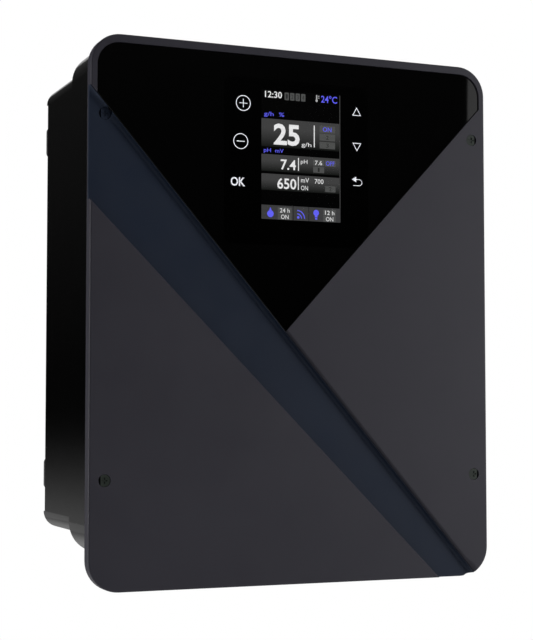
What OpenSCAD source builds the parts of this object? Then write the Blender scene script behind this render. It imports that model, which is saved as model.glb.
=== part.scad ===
// Wall-mounted salt chlorine generator control box: a moulded housing in two steps, a
// screwed front cover with a diagonal band and a display, the electronics between them,
// and cable glands, probe sockets and a power switch on the underside.
// The box is drawn lying on its back, as on a bench: x to the right, y to its top edge and
// z out of the wall. upright() stands it up, so that the wall is the plane Y = 0.

/* [Front cover] */
// Width of the front cover
cover_w = 242.4; // [236:0.2:256]
// Height of the front cover
cover_h = 300; // [292:1:316]
// Corner radius of the front cover
cover_r = 17; // [15:0.5:20]
// Depth of the cover from its front face to the edge of its skirt
cover_t = 7; // [6.8:0.1:9]
// Wall thickness of the cover moulding
cover_wall = 2.4; // [2:0.1:2.8]
// Radius of the cover's outer front edge
cover_edge_r = 1; // [0.6:0.1:1.6]
// How far the cover stands out past the housing at its top and sides
cover_overhang = 2; // [1.4:0.1:3]
// How far the cover hangs below the housing, in front of the cable glands
cover_skirt = 17.8; // [14:0.2:22]
// Gap between the cover and the mouth of the housing
cover_gap = 0.3; // [0.3:0.05:0.6]
// Pitch of the stiffening ribs inside the cover
cover_rib_pitch = 32; // [26:1:44]
// Thickness of the stiffening ribs inside the cover
cover_rib_t = 1.6; // [1.2:0.1:2]

/* [Diagonal band] */
// Distance of the channel's upper edge from the cover's top, down the left side
band_high_in = 28.5; // [26:0.5:33]
// Distance of the channel's lower edge from the cover's top, down the left side
band_low_in = 90.4; // [84:0.2:96]
// Distance of the channel's right edge from the cover's right side, along the bottom
band_right_in = 6.7; // [5.5:0.1:13]
// Distance of the channel's left edge from the cover's right side, along the bottom
band_left_in = 31.6; // [26:0.2:37]
// How far the band lies below the front face
band_drop = 3.4; // [3:0.1:3.8]
// Thickness of the band
band_t = 2; // [1.6:0.1:2.2]
// Thickness of the band's raised upper edge at its top
band_lip_w = 0.3; // [0.3:0.1:0.8]
// Width over which the band sweeps up to that edge
band_sweep_w = 4; // [3:0.2:5]
// Gap round the band in its channel
band_gap = 0.15; // [0.1:0.05:0.3]
// Width of the soft edge of the right panel where it faces the band
panel_soft_w = 3; // [2:0.2:3.6]
// How far that soft edge falls below the front face
panel_soft_fall = 1.4; // [1:0.1:1.8]
// Width of the bevel on the left panel where it faces the band
panel_bevel = 1.1; // [0.5:0.1:1.4]

/* [Lens] */
// Distance of the lens's lowest corner from the cover's middle, to the left
apex_left = 7.4; // [2:0.2:14]
// Distance of the right panel's upper edge from the cover's top, down the right side
panel_high_in = 21; // [17:0.5:28]
// Width of the rim beside the lens
rim_side = 3.5; // [3:0.1:4]
// Width of the rim above the lens
rim_top = 4.5; // [3.6:0.1:5.2]
// Corner radius of the lens
lens_r = 13; // [10:0.5:15]
// Thickness of the lens
lens_t = 2; // [1.6:0.1:2.2]
// How far the lens lies below the front face
lens_drop = 1; // [0.6:0.1:1.2]
// Gap round the lens in its recess
lens_gap = 0.15; // [0.1:0.05:0.3]
// Thickness of the sealing tape behind the lens
tape_t = 0.5; // [0.3:0.05:0.6]
// Width of the sealing tape behind the lens
tape_w = 6; // [4:0.5:8]

/* [Display] */
// Distance of the display's middle from the cover's top
screen_in = 62.5; // [62:0.5:64]
// Clearance of the display module in its window, all round
screen_gap = 1; // [0.5:0.1:1.5]
// Width of the display module
screen_w = 55; // [52:0.5:56]
// Height of the display module
screen_h = 85; // [82:0.5:86]
// Distance of the display module from the middle, to the right
screen_right = 3; // [0:0.1:3]
// Thickness of the display module
screen_t = 3.2; // [3:0.1:3.6]
// Width of the lit area of the display
lit_w = 49; // [46:0.5:50]
// Height of the lit area of the display
lit_h = 73.4; // [70:0.2:76]
// Height of the lit area's middle above the module's middle
lit_up = 2.8; // [0:0.1:3]
// Diameter of a touch pad
key_d = 9; // [7:0.5:9.5]
// Distance of the touch pads from the middle, to each side
key_side = 36; // [35.5:0.1:38]
// Pitch of the touch pads
key_pitch = 21; // [18:0.5:22]
// Height of the middle touch pads above the display's middle
keys_over_screen = 9.8; // [5:0.2:13]
// Thickness of every circuit board
board_t = 1.6; // [1.2:0.1:2]
// Width of the display board across the touch pads
panel_board_w = 112; // [110:1:114]
// Height of the display board's part that carries the touch pads
panel_board_l = 68; // [66:1:70]
// Margin of the display board round the display module
panel_board_margin = 5; // [4:0.5:6]
// Depth of the guard over the back of the display board
guard_t = 11; // [9:0.5:14]

/* [Cover screws] */
// Distance of the cover screws from the cover's sides
screw_in_x = 8.8; // [8.4:0.1:9.4]
// Distance of the cover screws from the housing's top and bottom
screw_in_y = 41.5; // [37:0.5:45]
// Shank diameter of a cover screw
screw_d = 3.9; // [3.4:0.1:4]
// Head diameter of a cover screw
screw_head_d = 6.5; // [6:0.1:6.6]
// How far the outer side of a screw's head is cut back to a flat
head_flat = 1.1; // [0.7:0.1:1.3]
// Head height of a cover screw
screw_head_t = 2.2; // [2:0.1:2.4]
// Length of a cover screw under its head
screw_len = 20; // [17:0.5:22]
// Diameter of the recess round a screw's head
recess_d = 6.8; // [6.8:0.1:7.6]
// How far a screw's head lies below the surface round it
head_drop = 0.2; // [0.1:0.1:0.4]
// Running clearance of a cover screw in its insert, on the radius
screw_gap = 0.08; // [0.05:0.01:0.1]
// Clearance of a cover screw in the cover, on the radius
screw_hole_gap = 0.35; // [0.3:0.05:0.5]
// Diameter of a brass insert
insert_d = 5.8; // [5.4:0.1:6]
// Length of a brass insert
insert_len = 8; // [6:0.5:9]

/* [Housing] */
// Depth of the housing's front collar
collar_d = 38.1; // [34:0.1:44]
// Depth of the housing's rear body
rear_d = 54.6; // [50:0.2:60]
// Step from the collar in to the rear body, at the top and the bottom
step_y = 10.2; // [8:0.2:12]
// Step from the collar in to the rear body, at the sides
step_x = 0.4; // [0.2:0.1:1]
// Corner radius of the rear body
rear_r = 9.5; // [8:0.5:12]
// Wall thickness of the housing
wall = 3; // [2.4:0.1:3.2]
// Height of the raised rim round the back's corners
back_rim = 2.4; // [1.6:0.1:3]
// Distance of the housing's back from the wall
wall_gap = 5; // [4:0.1:8]
// Thickness of the flange round the mouth of the housing
flange_t = 6; // [5.4:0.2:8]
// Width of the flange round the mouth of the housing
flange_w = 9; // [8.6:0.2:10]
// Distance of the gasket's groove from the outside
groove_in = 3.4; // [3:0.1:3.6]
// Width of the gasket's groove
groove_w = 3.2; // [3:0.1:3.4]
// Depth of the gasket's groove
groove_d = 3.2; // [2.8:0.1:3.6]
// Thickness of the gasket
gasket_t = 2; // [1.6:0.1:2.2]
// Thickness of the cover's rib that presses on the gasket
seal_rib_t = 1.6; // [1.2:0.1:2]
// Pitch of the gussets between the step and the collar's walls
gusset_pitch = 30; // [26:0.5:32]
// Wall round each insert, out to the gasket's groove
boss_wall = 1.9; // [1.7:0.1:2.2]

/* [Wall mounting] */
// Distance of the wall screws from the rear body's sides
wall_in_x = 24.8; // [24.2:0.2:27]
// Distance of the wall screws from the rear body's top and bottom
wall_in_y = 31.4; // [30:0.2:35]
// Diameter of a wall screw's hole
wall_hole_d = 5.5; // [4.5:0.1:6]
// Width of a wall spacer
spacer_w = 40; // [36:0.5:44]
// Height of a wall spacer
spacer_h = 18.5; // [16:0.5:22]
// How far a spacer stays in from the housing's side
spacer_in = 0.5; // [0.2:0.1:2]
// Diameter of the sealing boss round a wall screw's hole
wall_boss_d = 13; // [11:0.5:14]
// Height of the sealing boss round a wall screw's hole
wall_boss_h = 6; // [4:0.5:8]

/* [Room inside] */
// Clearance between the wall screws' bosses and the power supply and heat sink
bay_side_gap = 5.5; // [4:0.5:7]
// Clearance between the power supply and the heat sink
bay_gap = 9; // [6:0.5:12]
// Clearance above the power supply
bay_top_gap = 13; // [8:0.5:16]
// Clearance for the wiring between the power supply and the main board
row_gap = 18; // [14:0.5:22]
// Clearance between the wall screws' bosses and the main board
board_side_gap = 3.5; // [2:0.5:5]
// Clearance below the main board, behind the glands
board_low_gap = 15; // [13:0.5:18]
// Share of the room's height that the main board takes
board_share = 0.46; // [0.44:0.01:0.49]

/* [Power supply] */
// Depth of the power supply
psu_t = 36; // [30:1:40]
// Sheet thickness of the power supply's case
sheet = 1.2; // [0.8:0.1:1.5]
// Number of vent slots across the power supply
vent_cols = 4; // [3:1:5]
// Number of vent slots along the power supply
vent_rows = 9; // [5:1:11]
// Width of a vent slot
vent_w = 3; // [2:0.2:4]

/* [Cell power stage] */
// How much shorter the heat sink is than the power supply
sink_short = 20; // [12:1:30]
// Thickness of the heat sink's base
sink_base = 4; // [3:0.5:6]
// Height of the heat sink's fins
fin_h = 26; // [18:1:32]
// Thickness of a fin
fin_t = 1.6; // [1.2:0.1:2]
// Number of fins
fin_count = 11; // [7:1:13]
// Length of the shelf for the transistors
shelf_l = 26; // [25:1:30]

/* [Main board] */
// Height of the moulded posts under the main board
post_h = 10; // [6:0.5:14]
// Diameter of the moulded posts
post_d = 8; // [7:0.5:9]
// Diameter of the holes for the small screws
pilot_d = 2.6; // [2.2:0.1:3]

/* [Underside] */
// Thread diameter of the large cable glands
gland_d = 20; // [18:0.5:21]
// Thread diameter of the small cable glands
small_gland_d = 16; // [14:0.5:16.5]
// Cable hole of the large glands
cable_d = 9; // [7:0.5:10]
// Cable hole of the small glands
small_cable_d = 6; // [4:0.5:7]
// Distance of the glands' middles from the wall
under_z = 32; // [28:0.5:36]
// Thread diameter of a probe socket
socket_d = 12.7; // [11:0.1:13]
// Barrel diameter of a probe socket
barrel_d = 9.6; // [9:0.1:10]
// Clearance of a thread in its hole, on the radius
thread_gap = 0.2; // [0.1:0.05:0.3]

/* [Power switch] */
// Length of the power switch's cut-out
switch_l = 27.8; // [26:0.2:29]
// Width of the power switch's cut-out
switch_w = 21.8; // [20:0.2:24]
// Width of the flange round the power switch
bezel = 1.6; // [1.2:0.1:2]
// Tilt of the rocker to each side, in degrees
rocker_tilt = 10; // [6:1:12]
// Diameter of the rocker's pivot pins
pivot_d = 3; // [2.4:0.1:3.4]
// Running clearance of the pivot pins, on the radius
pivot_gap = 0.06; // [0.03:0.01:0.1]
// Gap between the rocker and the switch body
rocker_gap = 0.5; // [0.4:0.05:0.8]

/* [Hidden] */
$fn = 48;
over = 1;

// Planes along z, out from the wall
back_z = wall_gap;
step_z = back_z + rear_d;
mouth_z = step_z + collar_d;
cover_back_z = mouth_z + cover_gap;
floor_z = back_z + wall;

// Outlines of the housing, and where the cover's middle lies
housing_w = cover_w - 2 * cover_overhang;
collar_h = cover_h - cover_overhang - cover_skirt;
rear_w = housing_w - 2 * step_x;
rear_h = collar_h - 2 * step_y;
cover_y = -(cover_skirt - cover_overhang) / 2;

// Levels inside the cover, up from the edge of its skirt
band_top = cover_t - band_drop;
channel_z = band_top - band_t;
lens_top = cover_t - lens_drop;
lens_back = lens_top - lens_t;
ledge_z = lens_back - tape_t;
ledge_back = ledge_z - cover_wall;
panel_board_top = lens_back - screen_t;
panel_board_back = panel_board_top - board_t;

// Joint between cover and housing
groove_mid = groove_in + groove_w / 2;
groove_floor = mouth_z - groove_d;
gasket_top = groove_floor + gasket_t;
seal_rib_end = gasket_top + cover_gap;
boss_r = insert_d / 2 + boss_wall;
screw_corner = [cover_w / 2 - screw_in_x, collar_h / 2 - screw_in_y];
screws = [for (x = [-1, 1], y = [-1, 1]) [x * screw_corner[0], y * screw_corner[1]]];
insert_bore_r = screw_d / 2 + screw_gap;
insert_sink = 0.5;

// Underside: places across the box of what is fitted there, as shares of its width
switch_x = -0.336 * housing_w;
large_glands = [-0.197 * housing_w, -0.059 * housing_w];
small_glands = [0.071 * housing_w, 0.185 * housing_w];
sockets = [0.281 * housing_w, 0.365 * housing_w];

// Small screws: hole they cut their thread in, shank, clear hole and heads
small_pilot_d = pilot_d - 0.4;
small_screw_d = small_pilot_d - 0.1;
clear_hole_d = pilot_d + 0.6;
small_head_d = 5;
small_head_t = 2;
flat_head_t = 1.6;
small_screw_grip = 7;

// Corner radii and edges shared by several parts
board_r = 3;
window_r = 2;
pad_window_r = 4;
spacer_r = 3;
pin_floor = 1.5;

// Wall screws, and the room that their bosses leave inside the housing
wall_corner = [rear_w / 2 - wall_in_x, rear_h / 2 - wall_in_y];
wall_holes = [for (x = [-1, 1], y = [-1, 1]) [x * wall_corner[0], y * wall_corner[1]]];
room_x = wall_corner[0] - wall_boss_d / 2;
room_top = rear_h / 2 - wall - bay_top_gap;
room_low = -rear_h / 2 + wall + board_low_gap;
room_l = room_top - room_low - row_gap;
foot_h = 4;
function moved(holes, by) = [for (p = holes) p + by];

// Main board, across the lower part of the room
board_w = 2 * (room_x - board_side_gap);
board_l = board_share * room_l;
board_y = room_low + board_l / 2;
board_z = floor_z + post_h;
board_top = board_z + board_t;
board_low = -board_l / 2;
board_hole_in = 6;
board_holes = [for (x = [-1, 0, 1], y = [-1, 1])
  [x * (board_w / 2 - board_hole_in), y * (board_l / 2 - board_hole_in)]];
board_posts = moved(board_holes, [0, board_y]);

// Power supply and heat sink, side by side above the board
psu_w = room_x - bay_side_gap - bay_gap / 2;
psu_l = room_l - board_l;
psu_x = -(bay_gap + psu_w) / 2;
psu_y = room_top - psu_l / 2;
psu_z = floor_z + foot_h;
psu_hole_in = [8, 10];
psu_holes = [for (x = [-1, 1], y = [-1, 1])
  [x * (psu_w / 2 - psu_hole_in[0]), y * (psu_l / 2 - psu_hole_in[1])]];
psu_posts = moved(psu_holes, [psu_x, psu_y]);
sink_w = psu_w;
sink_l = psu_l - sink_short;
sink_z = floor_z + foot_h;
sink_hole_in = [6, 7];
sink_holes = [for (x = [-1, 1], y = [-sink_l / 2 + shelf_l + sink_hole_in[1], sink_l / 2 - sink_hole_in[1]])
  [x * (sink_w / 2 - sink_hole_in[0]), y]];
sink_posts = moved(sink_holes, [-psu_x, psu_y]);

// Display and touch pads, from the cover's middle
screen_up = cover_h / 2 - screen_in;
key_up = screen_up + keys_over_screen;

// --- Shared shapes -------------------------------------------------------------------

module upright() rotate([90, 0, 0]) children();

module on_cover() upright() translate([0, cover_y, cover_back_z]) children();

// A rectangle with round corners
module round_rect(w, h, r) {
  square([w - 2 * r, h], center = true);
  square([w, h - 2 * r], center = true);
  for (x = [-1, 1], y = [-1, 1])
    translate([x * (w / 2 - r), y * (h / 2 - r)])
      circle(r);
}

module plate(w, h, r, z0, z1) translate([0, 0, z0]) linear_extrude(z1 - z0) round_rect(w, h, r);

module block(x0, y0, z0, w, l, t) translate([x0 - w / 2, y0 - l / 2, z0]) cube([w, l, t]);

module rod(p, d, z0, z1) translate([p[0], p[1], z0]) cylinder(d = d, h = z1 - z0);

module tube(p, d, bore, z0, z1) difference() {
  rod(p, d, z0, z1);
  rod(p, bore, z0 - over, z1 + over);
}

// Pan-head screw with a cross recess: its head's underside lies at z
module pan_screw(p, d, head_d, head_t, len, z) translate([p[0], p[1], z]) {
  slot_l = head_d / 2;
  slot_w = head_d / 8;
  translate([0, 0, -len]) cylinder(d = d, h = len);
  difference() {
    cylinder(d = head_d, h = head_t);
    for (a = [0, 90])
      rotate(a) translate([-slot_l / 2, -slot_w / 2, head_t / 2]) cube([slot_l, slot_w, head_t]);
  }
}

// --- Cover outlines ------------------------------------------------------------------

// Points of the channel's two edges and of the right panel's upper edge
channel_high = [-cover_w / 2, cover_h / 2 - band_high_in];
channel_low = [-cover_w / 2, cover_h / 2 - band_low_in];
foot_right = [cover_w / 2 - band_right_in, -cover_h / 2];
foot_left = [cover_w / 2 - band_left_in, -cover_h / 2];
channel_slope = (foot_right[1] - channel_high[1]) / (foot_right[0] - channel_high[0]);
apex = [-apex_left, channel_high[1] + channel_slope * (cover_w / 2 - apex_left)];
panel_corner = [cover_w / 2, cover_h / 2 - panel_high_in];

function dir(p, q) = (q - p) / norm(q - p);
function left_of(p, q) = [-dir(p, q)[1], dir(p, q)[0]];
function lengthened(p, q, d) = [p - d * dir(p, q), q + d * dir(p, q)];

// The strip that lies to the left of the line from p to q, for cutting outlines
module left_side(p, q, gap = 0) {
  ends = lengthened(p, q, cover_h);
  near = gap * left_of(p, q);
  far = cover_h * 2 * left_of(p, q);
  polygon([ends[0] + near, ends[1] + near, ends[1] + far, ends[0] + far]);
}

module cover_outline(inset = 0)
  round_rect(cover_w - 2 * inset, cover_h - 2 * inset, cover_r - inset);

// Floor of the diagonal channel, or the band in it with a gap
module channel_area(gap = 0) intersection() {
  left_side(foot_right, channel_high, gap);
  left_side(channel_low, foot_left, gap);
}

// Recess of the lens: inside the rim, above the channel and the right panel
module lens_area(gap = 0, channel_gap = undef) intersection() {
  translate([0, -rim_top])
    round_rect(cover_w - 2 * rim_side - 2 * gap, cover_h - 2 * gap, lens_r - gap);
  left_side(channel_high, foot_right, is_undef(channel_gap) ? gap : channel_gap);
  left_side(apex, panel_corner, gap);
}

// A gasket line round the housing's mouth that passes inside the cover screws
module seal_outline(inset) difference() {
  round_rect(housing_w - 2 * inset, collar_h - 2 * inset, cover_r - inset);
  for (p = screws)
    translate(p) circle(boss_r + inset - groove_in);
}

module seal_ring(inset, w) difference() {
  seal_outline(inset);
  seal_outline(inset + w);
}

// Section through the cover's edge, from a corner's centre outward
module edge_section() {
  square([cover_r - cover_edge_r, cover_t]);
  square([cover_r, cover_t - cover_edge_r]);
  translate([cover_r - cover_edge_r, cover_t - cover_edge_r]) circle(cover_edge_r);
}

// The cover before anything is cut: the edge section carried round the outline
module cover_blank() {
  x = cover_w / 2 - cover_r;
  y = cover_h / 2 - cover_r;
  for (i = [0, 1], j = [0, 1])
    mirror([i, 0, 0]) mirror([0, j, 0]) translate([x, y, 0])
      rotate_extrude(angle = 90) edge_section();
  for (i = [0, 1]) mirror([i, 0, 0])
    translate([x, y, 0]) rotate([90, 0, 0]) linear_extrude(2 * y) edge_section();
  for (j = [0, 1]) mirror([0, j, 0])
    translate([-x, y, 0]) rotate([90, 0, 90]) linear_extrude(2 * x) edge_section();
  translate([-x, -y, 0]) cube([2 * x, 2 * y, cover_t]);
}

// Carries a cutter's section along a panel's straight front edge, from p to q and on past both
// ends, with the panel on its left
module panel_edge(p, q) {
  ends = lengthened(p, q, cover_r);
  along = q - p;
  translate([ends[0][0], ends[0][1], cover_t]) rotate([0, 0, atan2(along[1], along[0])])
    rotate([90, 0, 90]) linear_extrude(norm(ends[1] - ends[0])) children();
}

// A soft edge: an arc that leaves the face level, w in from the edge, and falls by drop at the edge
module soft_section(w, drop) difference() {
  r = (w * w + drop * drop) / (2 * drop);
  translate([-over, -drop - over / 2]) square([w + over, drop + 2 * over]);
  translate([w, -r]) circle(r);
}

module bevel_section(c) polygon([[-over, over], [c + over, over], [-over, -c - over]]);

// --- Front cover and what it carries ---------------------------------------------------

panel_hole_in = 4.5;
panel_post_d = 6;
panel_thread_l = 1.9;
key_places = [for (x = [-1, 1], i = [-1 : 1]) [x * key_side, key_up + i * key_pitch]];
board_corners = [for (x = [-1, 1], y = [-1, 1])
  [x * (panel_board_w / 2 - panel_hole_in), key_up + y * (panel_board_l / 2 - panel_hole_in)]];
board_screw_d = small_screw_d - 0.1;
board_screw_len = board_t + panel_thread_l;
function in_channel(p) = p[0] < 0 && p[1] > 0;
function seat_drop(p) = in_channel(p) ? band_drop : 0;
function head_seat(p) = cover_t - seat_drop(p) - head_drop - screw_head_t;
function on_cover_xy(p) = [p[0], p[1] - cover_y];

// Hollows in the back of the cover, under one panel, between its stiffening ribs
module panel_hollow() intersection() {
  translate([0, -cover_y]) seal_outline(flange_w + cover_wall);
  children();
}

rib_count = ceil(cover_h / 2 / cover_rib_pitch);

module rib_grid() for (i = [-rib_count : rib_count]) {
  translate([i * cover_rib_pitch - cover_rib_t / 2, -cover_h / 2]) square([cover_rib_t, cover_h]);
  translate([-cover_w / 2, i * cover_rib_pitch - cover_rib_t / 2]) square([cover_w, cover_rib_t]);
}

module left_panel_area() left_side(foot_left, channel_low, cover_wall);

module right_panel_area() intersection() {
  left_side(panel_corner, apex, cover_wall);
  left_side(channel_high, foot_right, cover_wall);
}

module skirt_hollow() difference() {
  y0 = -cover_h / 2 + cover_wall;
  y1 = -cover_h / 2 + cover_skirt - cover_wall;
  w = cover_w - 2 * (cover_r + cover_wall);
  translate([-w / 2, y0]) square([w, y1 - y0]);
  left_side(channel_low - [0, cover_wall], foot_left - [cover_wall, 0]);
}

// Opening for the display module and the two columns of touch pads
module window_area() {
  at_screen() round_rect(screen_w + 2 * screen_gap, screen_h + 2 * screen_gap, window_r);
  translate([0, key_up])
    round_rect(2 * key_side + key_d + 2 * screen_gap, 2 * key_pitch + key_d + 2 * screen_gap,
      pad_window_r);
}

// The display board: wide across the touch pads, narrow beside the display module
module panel_board_outline(grow = 0) {
  translate([0, key_up]) round_rect(panel_board_w + 2 * grow, panel_board_l + 2 * grow, board_r);
  at_screen() round_rect(screen_w + 2 * (panel_board_margin + grow),
    screen_h + 2 * (panel_board_margin + grow), board_r);
}

module front_cover() on_cover() color([0.2, 0.2, 0.225]) {
  difference() {
    cover_blank();
    translate([0, 0, channel_z]) linear_extrude(cover_t) channel_area();
    translate([0, 0, ledge_z]) linear_extrude(cover_t) lens_area(0, -over);
    panel_edge(apex, foot_right) soft_section(panel_soft_w, panel_soft_fall);
    panel_edge(foot_left, channel_low) bevel_section(panel_bevel);
    // The display board sits in the back of the ledge
    translate([0, 0, -over]) linear_extrude(over + ledge_back) panel_board_outline(screen_gap);
    translate([0, 0, -over]) linear_extrude(cover_t) window_area();
    translate([0, 0, -over]) linear_extrude(over + cover_t - cover_wall) difference() {
      union() {
        panel_hollow() left_panel_area();
        panel_hollow() right_panel_area();
        skirt_hollow();
      }
      rib_grid();
    }
    for (p = screws) {
      rod(on_cover_xy(p), screw_d + 2 * screw_hole_gap, -over, cover_t + over);
      rod(on_cover_xy(p), recess_d, head_seat(p), cover_t + over);
    }
    for (p = board_corners)
      rod(p, board_screw_d, ledge_back - over, panel_board_back + board_screw_len);
  }
  // Rib that presses on the gasket
  translate([0, -cover_y, seal_rib_end - cover_back_z]) linear_extrude(cover_back_z - seal_rib_end)
    seal_ring(groove_mid - seal_rib_t / 2, seal_rib_t);
  // Posts for the display board
  for (p = board_corners)
    tube(p, panel_post_d, board_screw_d, panel_board_top, ledge_back);
}

module navy_band() on_cover() color([0.13, 0.15, 0.19]) difference() {
  union() {
    translate([0, 0, channel_z]) linear_extrude(band_t) intersection() {
      channel_area(band_gap);
      cover_outline();
    }
    translate([0, 0, band_top - over]) linear_extrude(over + lens_top - band_top) intersection() {
      difference() {
        channel_area(band_gap);
        left_side(foot_right, channel_high, band_gap + band_lip_w + band_sweep_w);
      }
      cover_outline();
    }
  }
  // Hollow of the lip, which sweeps up to the level of the lens
  band_sweep();
  for (p = screws) if (in_channel(p))
    rod(on_cover_xy(p), recess_d, 0, cover_t);
}

module band_sweep() {
  rise = lens_top - band_top;
  r = (band_sweep_w * band_sweep_w + rise * rise) / (2 * rise);
  ends = lengthened(foot_right, channel_high, cover_r);
  line = left_of(foot_right, channel_high) * (band_gap + band_lip_w + band_sweep_w);
  translate([ends[0][0] + line[0], ends[0][1] + line[1], band_top + r])
    rotate([0, 0, atan2(channel_high[1] - foot_right[1], channel_high[0] - foot_right[0])])
      rotate([90, 0, 90]) linear_extrude(norm(ends[1] - ends[0])) circle(r);
}

module display_lens() on_cover() color([0.02, 0.02, 0.02])
  translate([0, 0, lens_back]) linear_extrude(lens_t) lens_area(lens_gap);

tape_in = lens_gap + 1;

module lens_tape() on_cover() color([0.1, 0.1, 0.1])
  translate([0, 0, ledge_z]) linear_extrude(tape_t) difference() {
    lens_area(tape_in);
    lens_area(tape_in + tape_w);
  }

module at_screen() translate([screen_right, screen_up]) children();

module lit_area(gap = 0) translate([0, lit_up]) square([lit_w + 2 * gap, lit_h + 2 * gap], center = true);

// The glass sits in the front of the module and laps over the lit area
glass_t = 0.8;
glass_gap = 0.1;
glass_lap = 0.8;

module display_module() on_cover() color([0.62, 0.63, 0.65])
  translate([0, 0, panel_board_top]) at_screen() difference() {
    linear_extrude(screen_t) square([screen_w, screen_h], center = true);
    translate([0, 0, screen_t - glass_t - glass_gap]) linear_extrude(glass_t + over) lit_area(glass_lap);
  }

module display_glass() on_cover() color([0.05, 0.06, 0.1])
  translate([0, 0, lens_back - glass_t - glass_gap]) at_screen() linear_extrude(glass_t) lit_area(glass_lap);

module display_board() on_cover() color([0.05, 0.3, 0.16]) difference() {
  translate([0, 0, panel_board_back]) linear_extrude(board_t) panel_board_outline();
  for (p = board_corners)
    rod(p, pilot_d, panel_board_back - over, panel_board_top + over);
}

module touch_pads() on_cover() color([0.15, 0.15, 0.16]) for (p = key_places)
  rod(p, key_d, panel_board_top, lens_back);

// Open box headers for the ribbon between the two boards, drawn with their openings up
header_l = 30;
header_w = 9;
header_t = 8;
header_wall = 1;
header_floor = 2;
header_in = 8;
header_y = screen_up - screen_h / 2 + header_in;

module box_header() difference() {
  block(0, 0, 0, header_l, header_w, header_t);
  block(0, 0, header_floor, header_l - 2 * header_wall, header_w - 2 * header_wall, header_t);
}

module display_header() on_cover() color([0.08, 0.08, 0.08])
  translate([screen_right, header_y, panel_board_back]) mirror([0, 0, 1]) box_header();

guard_in = 1;
guard_header_gap = 2;
guard_post_d = 9;
guard_slot_pitch = 10;
guard_slot_w = 3;
guard_slot_l = 0.6 * panel_board_l;

module display_guard() on_cover() color([0.16, 0.16, 0.17]) {
  z0 = panel_board_back - guard_t;
  difference() {
    translate([0, 0, z0]) linear_extrude(guard_t) panel_board_outline(-guard_in);
    translate([0, 0, z0 + sheet]) linear_extrude(guard_t) panel_board_outline(-guard_in - sheet);
    // Opening over the ribbon header, and slots that let the display's heat out
    block(screen_right, header_y, z0 - over, header_l + 2 * guard_header_gap,
      header_w + 2 * guard_header_gap, sheet + 2 * over);
    for (i = [-4 : 4])
      block(i * guard_slot_pitch, key_up, z0 - over, guard_slot_w, guard_slot_l, sheet + 2 * over);
    for (p = board_corners) rod(p, guard_post_d, z0 - over, panel_board_top);
  }
}

panel_head_d = 4.6;

module display_screws() on_cover() color([0.7, 0.7, 0.72]) for (p = board_corners)
  mirror([0, 0, 1])
    pan_screw(p, board_screw_d, panel_head_d, flat_head_t, board_screw_len, -panel_board_back);

// A flat on the outer side of each head shows that the screw is shut
module cover_screws() on_cover() color([0.3, 0.33, 0.31]) for (p = screws) difference() {
  at = on_cover_xy(p);
  pan_screw(at, screw_d, screw_head_d, screw_head_t, screw_len, head_seat(p));
  block(at[0] + sign(p[0]) * (screw_head_d - head_flat), at[1], head_seat(p), screw_head_d,
    screw_head_d + over, screw_head_t + over);
}

// Soft washers behind the cover that keep each screw in it
module screw_retainers() on_cover() color([0.9, 0.9, 0.88]) for (p = screws)
  tube(on_cover_xy(p), insert_d - 2 * cover_gap, screw_d, -insert_sink, 0);

// --- Housing ---------------------------------------------------------------------------

module housing_shell() {
  difference() {
    union() {
      plate(rear_w, rear_h, rear_r, back_z, step_z + wall);
      plate(housing_w, collar_h, cover_r, step_z, mouth_z);
    }
    plate(rear_w - 2 * wall, rear_h - 2 * wall, rear_r - wall, floor_z, mouth_z);
    plate(housing_w - 2 * wall, collar_h - 2 * wall, cover_r - wall, step_z + wall, mouth_z + over);
  }
}

// Rim round the back's corners and ends, open along the straight sides
module back_corner_rim() difference() {
  plate(rear_w, rear_h, rear_r, back_z - back_rim, back_z + wall);
  plate(rear_w - 2 * wall, rear_h - 2 * wall, rear_r - wall, back_z - back_rim - over, back_z);
  block(0, 0, back_z - back_rim - over, rear_w + 2 * over, rear_h - 2 * rear_r, back_rim + over);
}

module mouth_flange() translate([0, 0, mouth_z - flange_t]) linear_extrude(flange_t) difference() {
  round_rect(housing_w - wall, collar_h - wall, cover_r - wall / 2);
  seal_outline(flange_w);
}

// Bosses for the inserts, each tied to the side wall by a web
boss_web_t = 1.6 * boss_r;

module screw_bosses() for (p = screws) intersection() {
  union() {
    rod(p, 2 * boss_r, step_z, mouth_z);
    block(p[0] + sign(p[0]) * boss_r, p[1], step_z, 2 * boss_r, boss_web_t, collar_d);
  }
  plate(housing_w - wall, collar_h - wall, cover_r - wall / 2, step_z, mouth_z);
}

// Gussets that tie the step to the collar's top and bottom walls
gusset_t = 2;

module step_gussets() for (i = [-3 : 3], s = [0, 1]) mirror([0, s, 0])
  translate([i * gusset_pitch, 0, 0]) rotate([90, 0, 90]) linear_extrude(gusset_t, center = true)
    polygon([
      [rear_h / 2 - wall / 2, step_z + wall / 2],
      [collar_h / 2 - wall / 2, step_z + wall / 2],
      [collar_h / 2 - wall / 2, mouth_z - flange_t],
      [collar_h / 2 - wall, mouth_z - flange_t]
    ]);

module housing_bosses() {
  for (p = wall_holes) rod(p, wall_boss_d, back_z, floor_z + wall_boss_h);
  for (p = board_posts) rod(p, post_d, back_z, board_z);
  for (p = psu_posts) rod(p, post_d, back_z, psu_z);
  for (p = sink_posts) rod(p, post_d, back_z, sink_z);
}

// Hole through the underside, made along the outward axis
module under_hole(x, d) under(x) translate([0, 0, -wall - over]) cylinder(d = d, h = wall + 2 * over);

module under(x) translate([x, -rear_h / 2, under_z]) rotate([90, 0, 0]) children();

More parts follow.
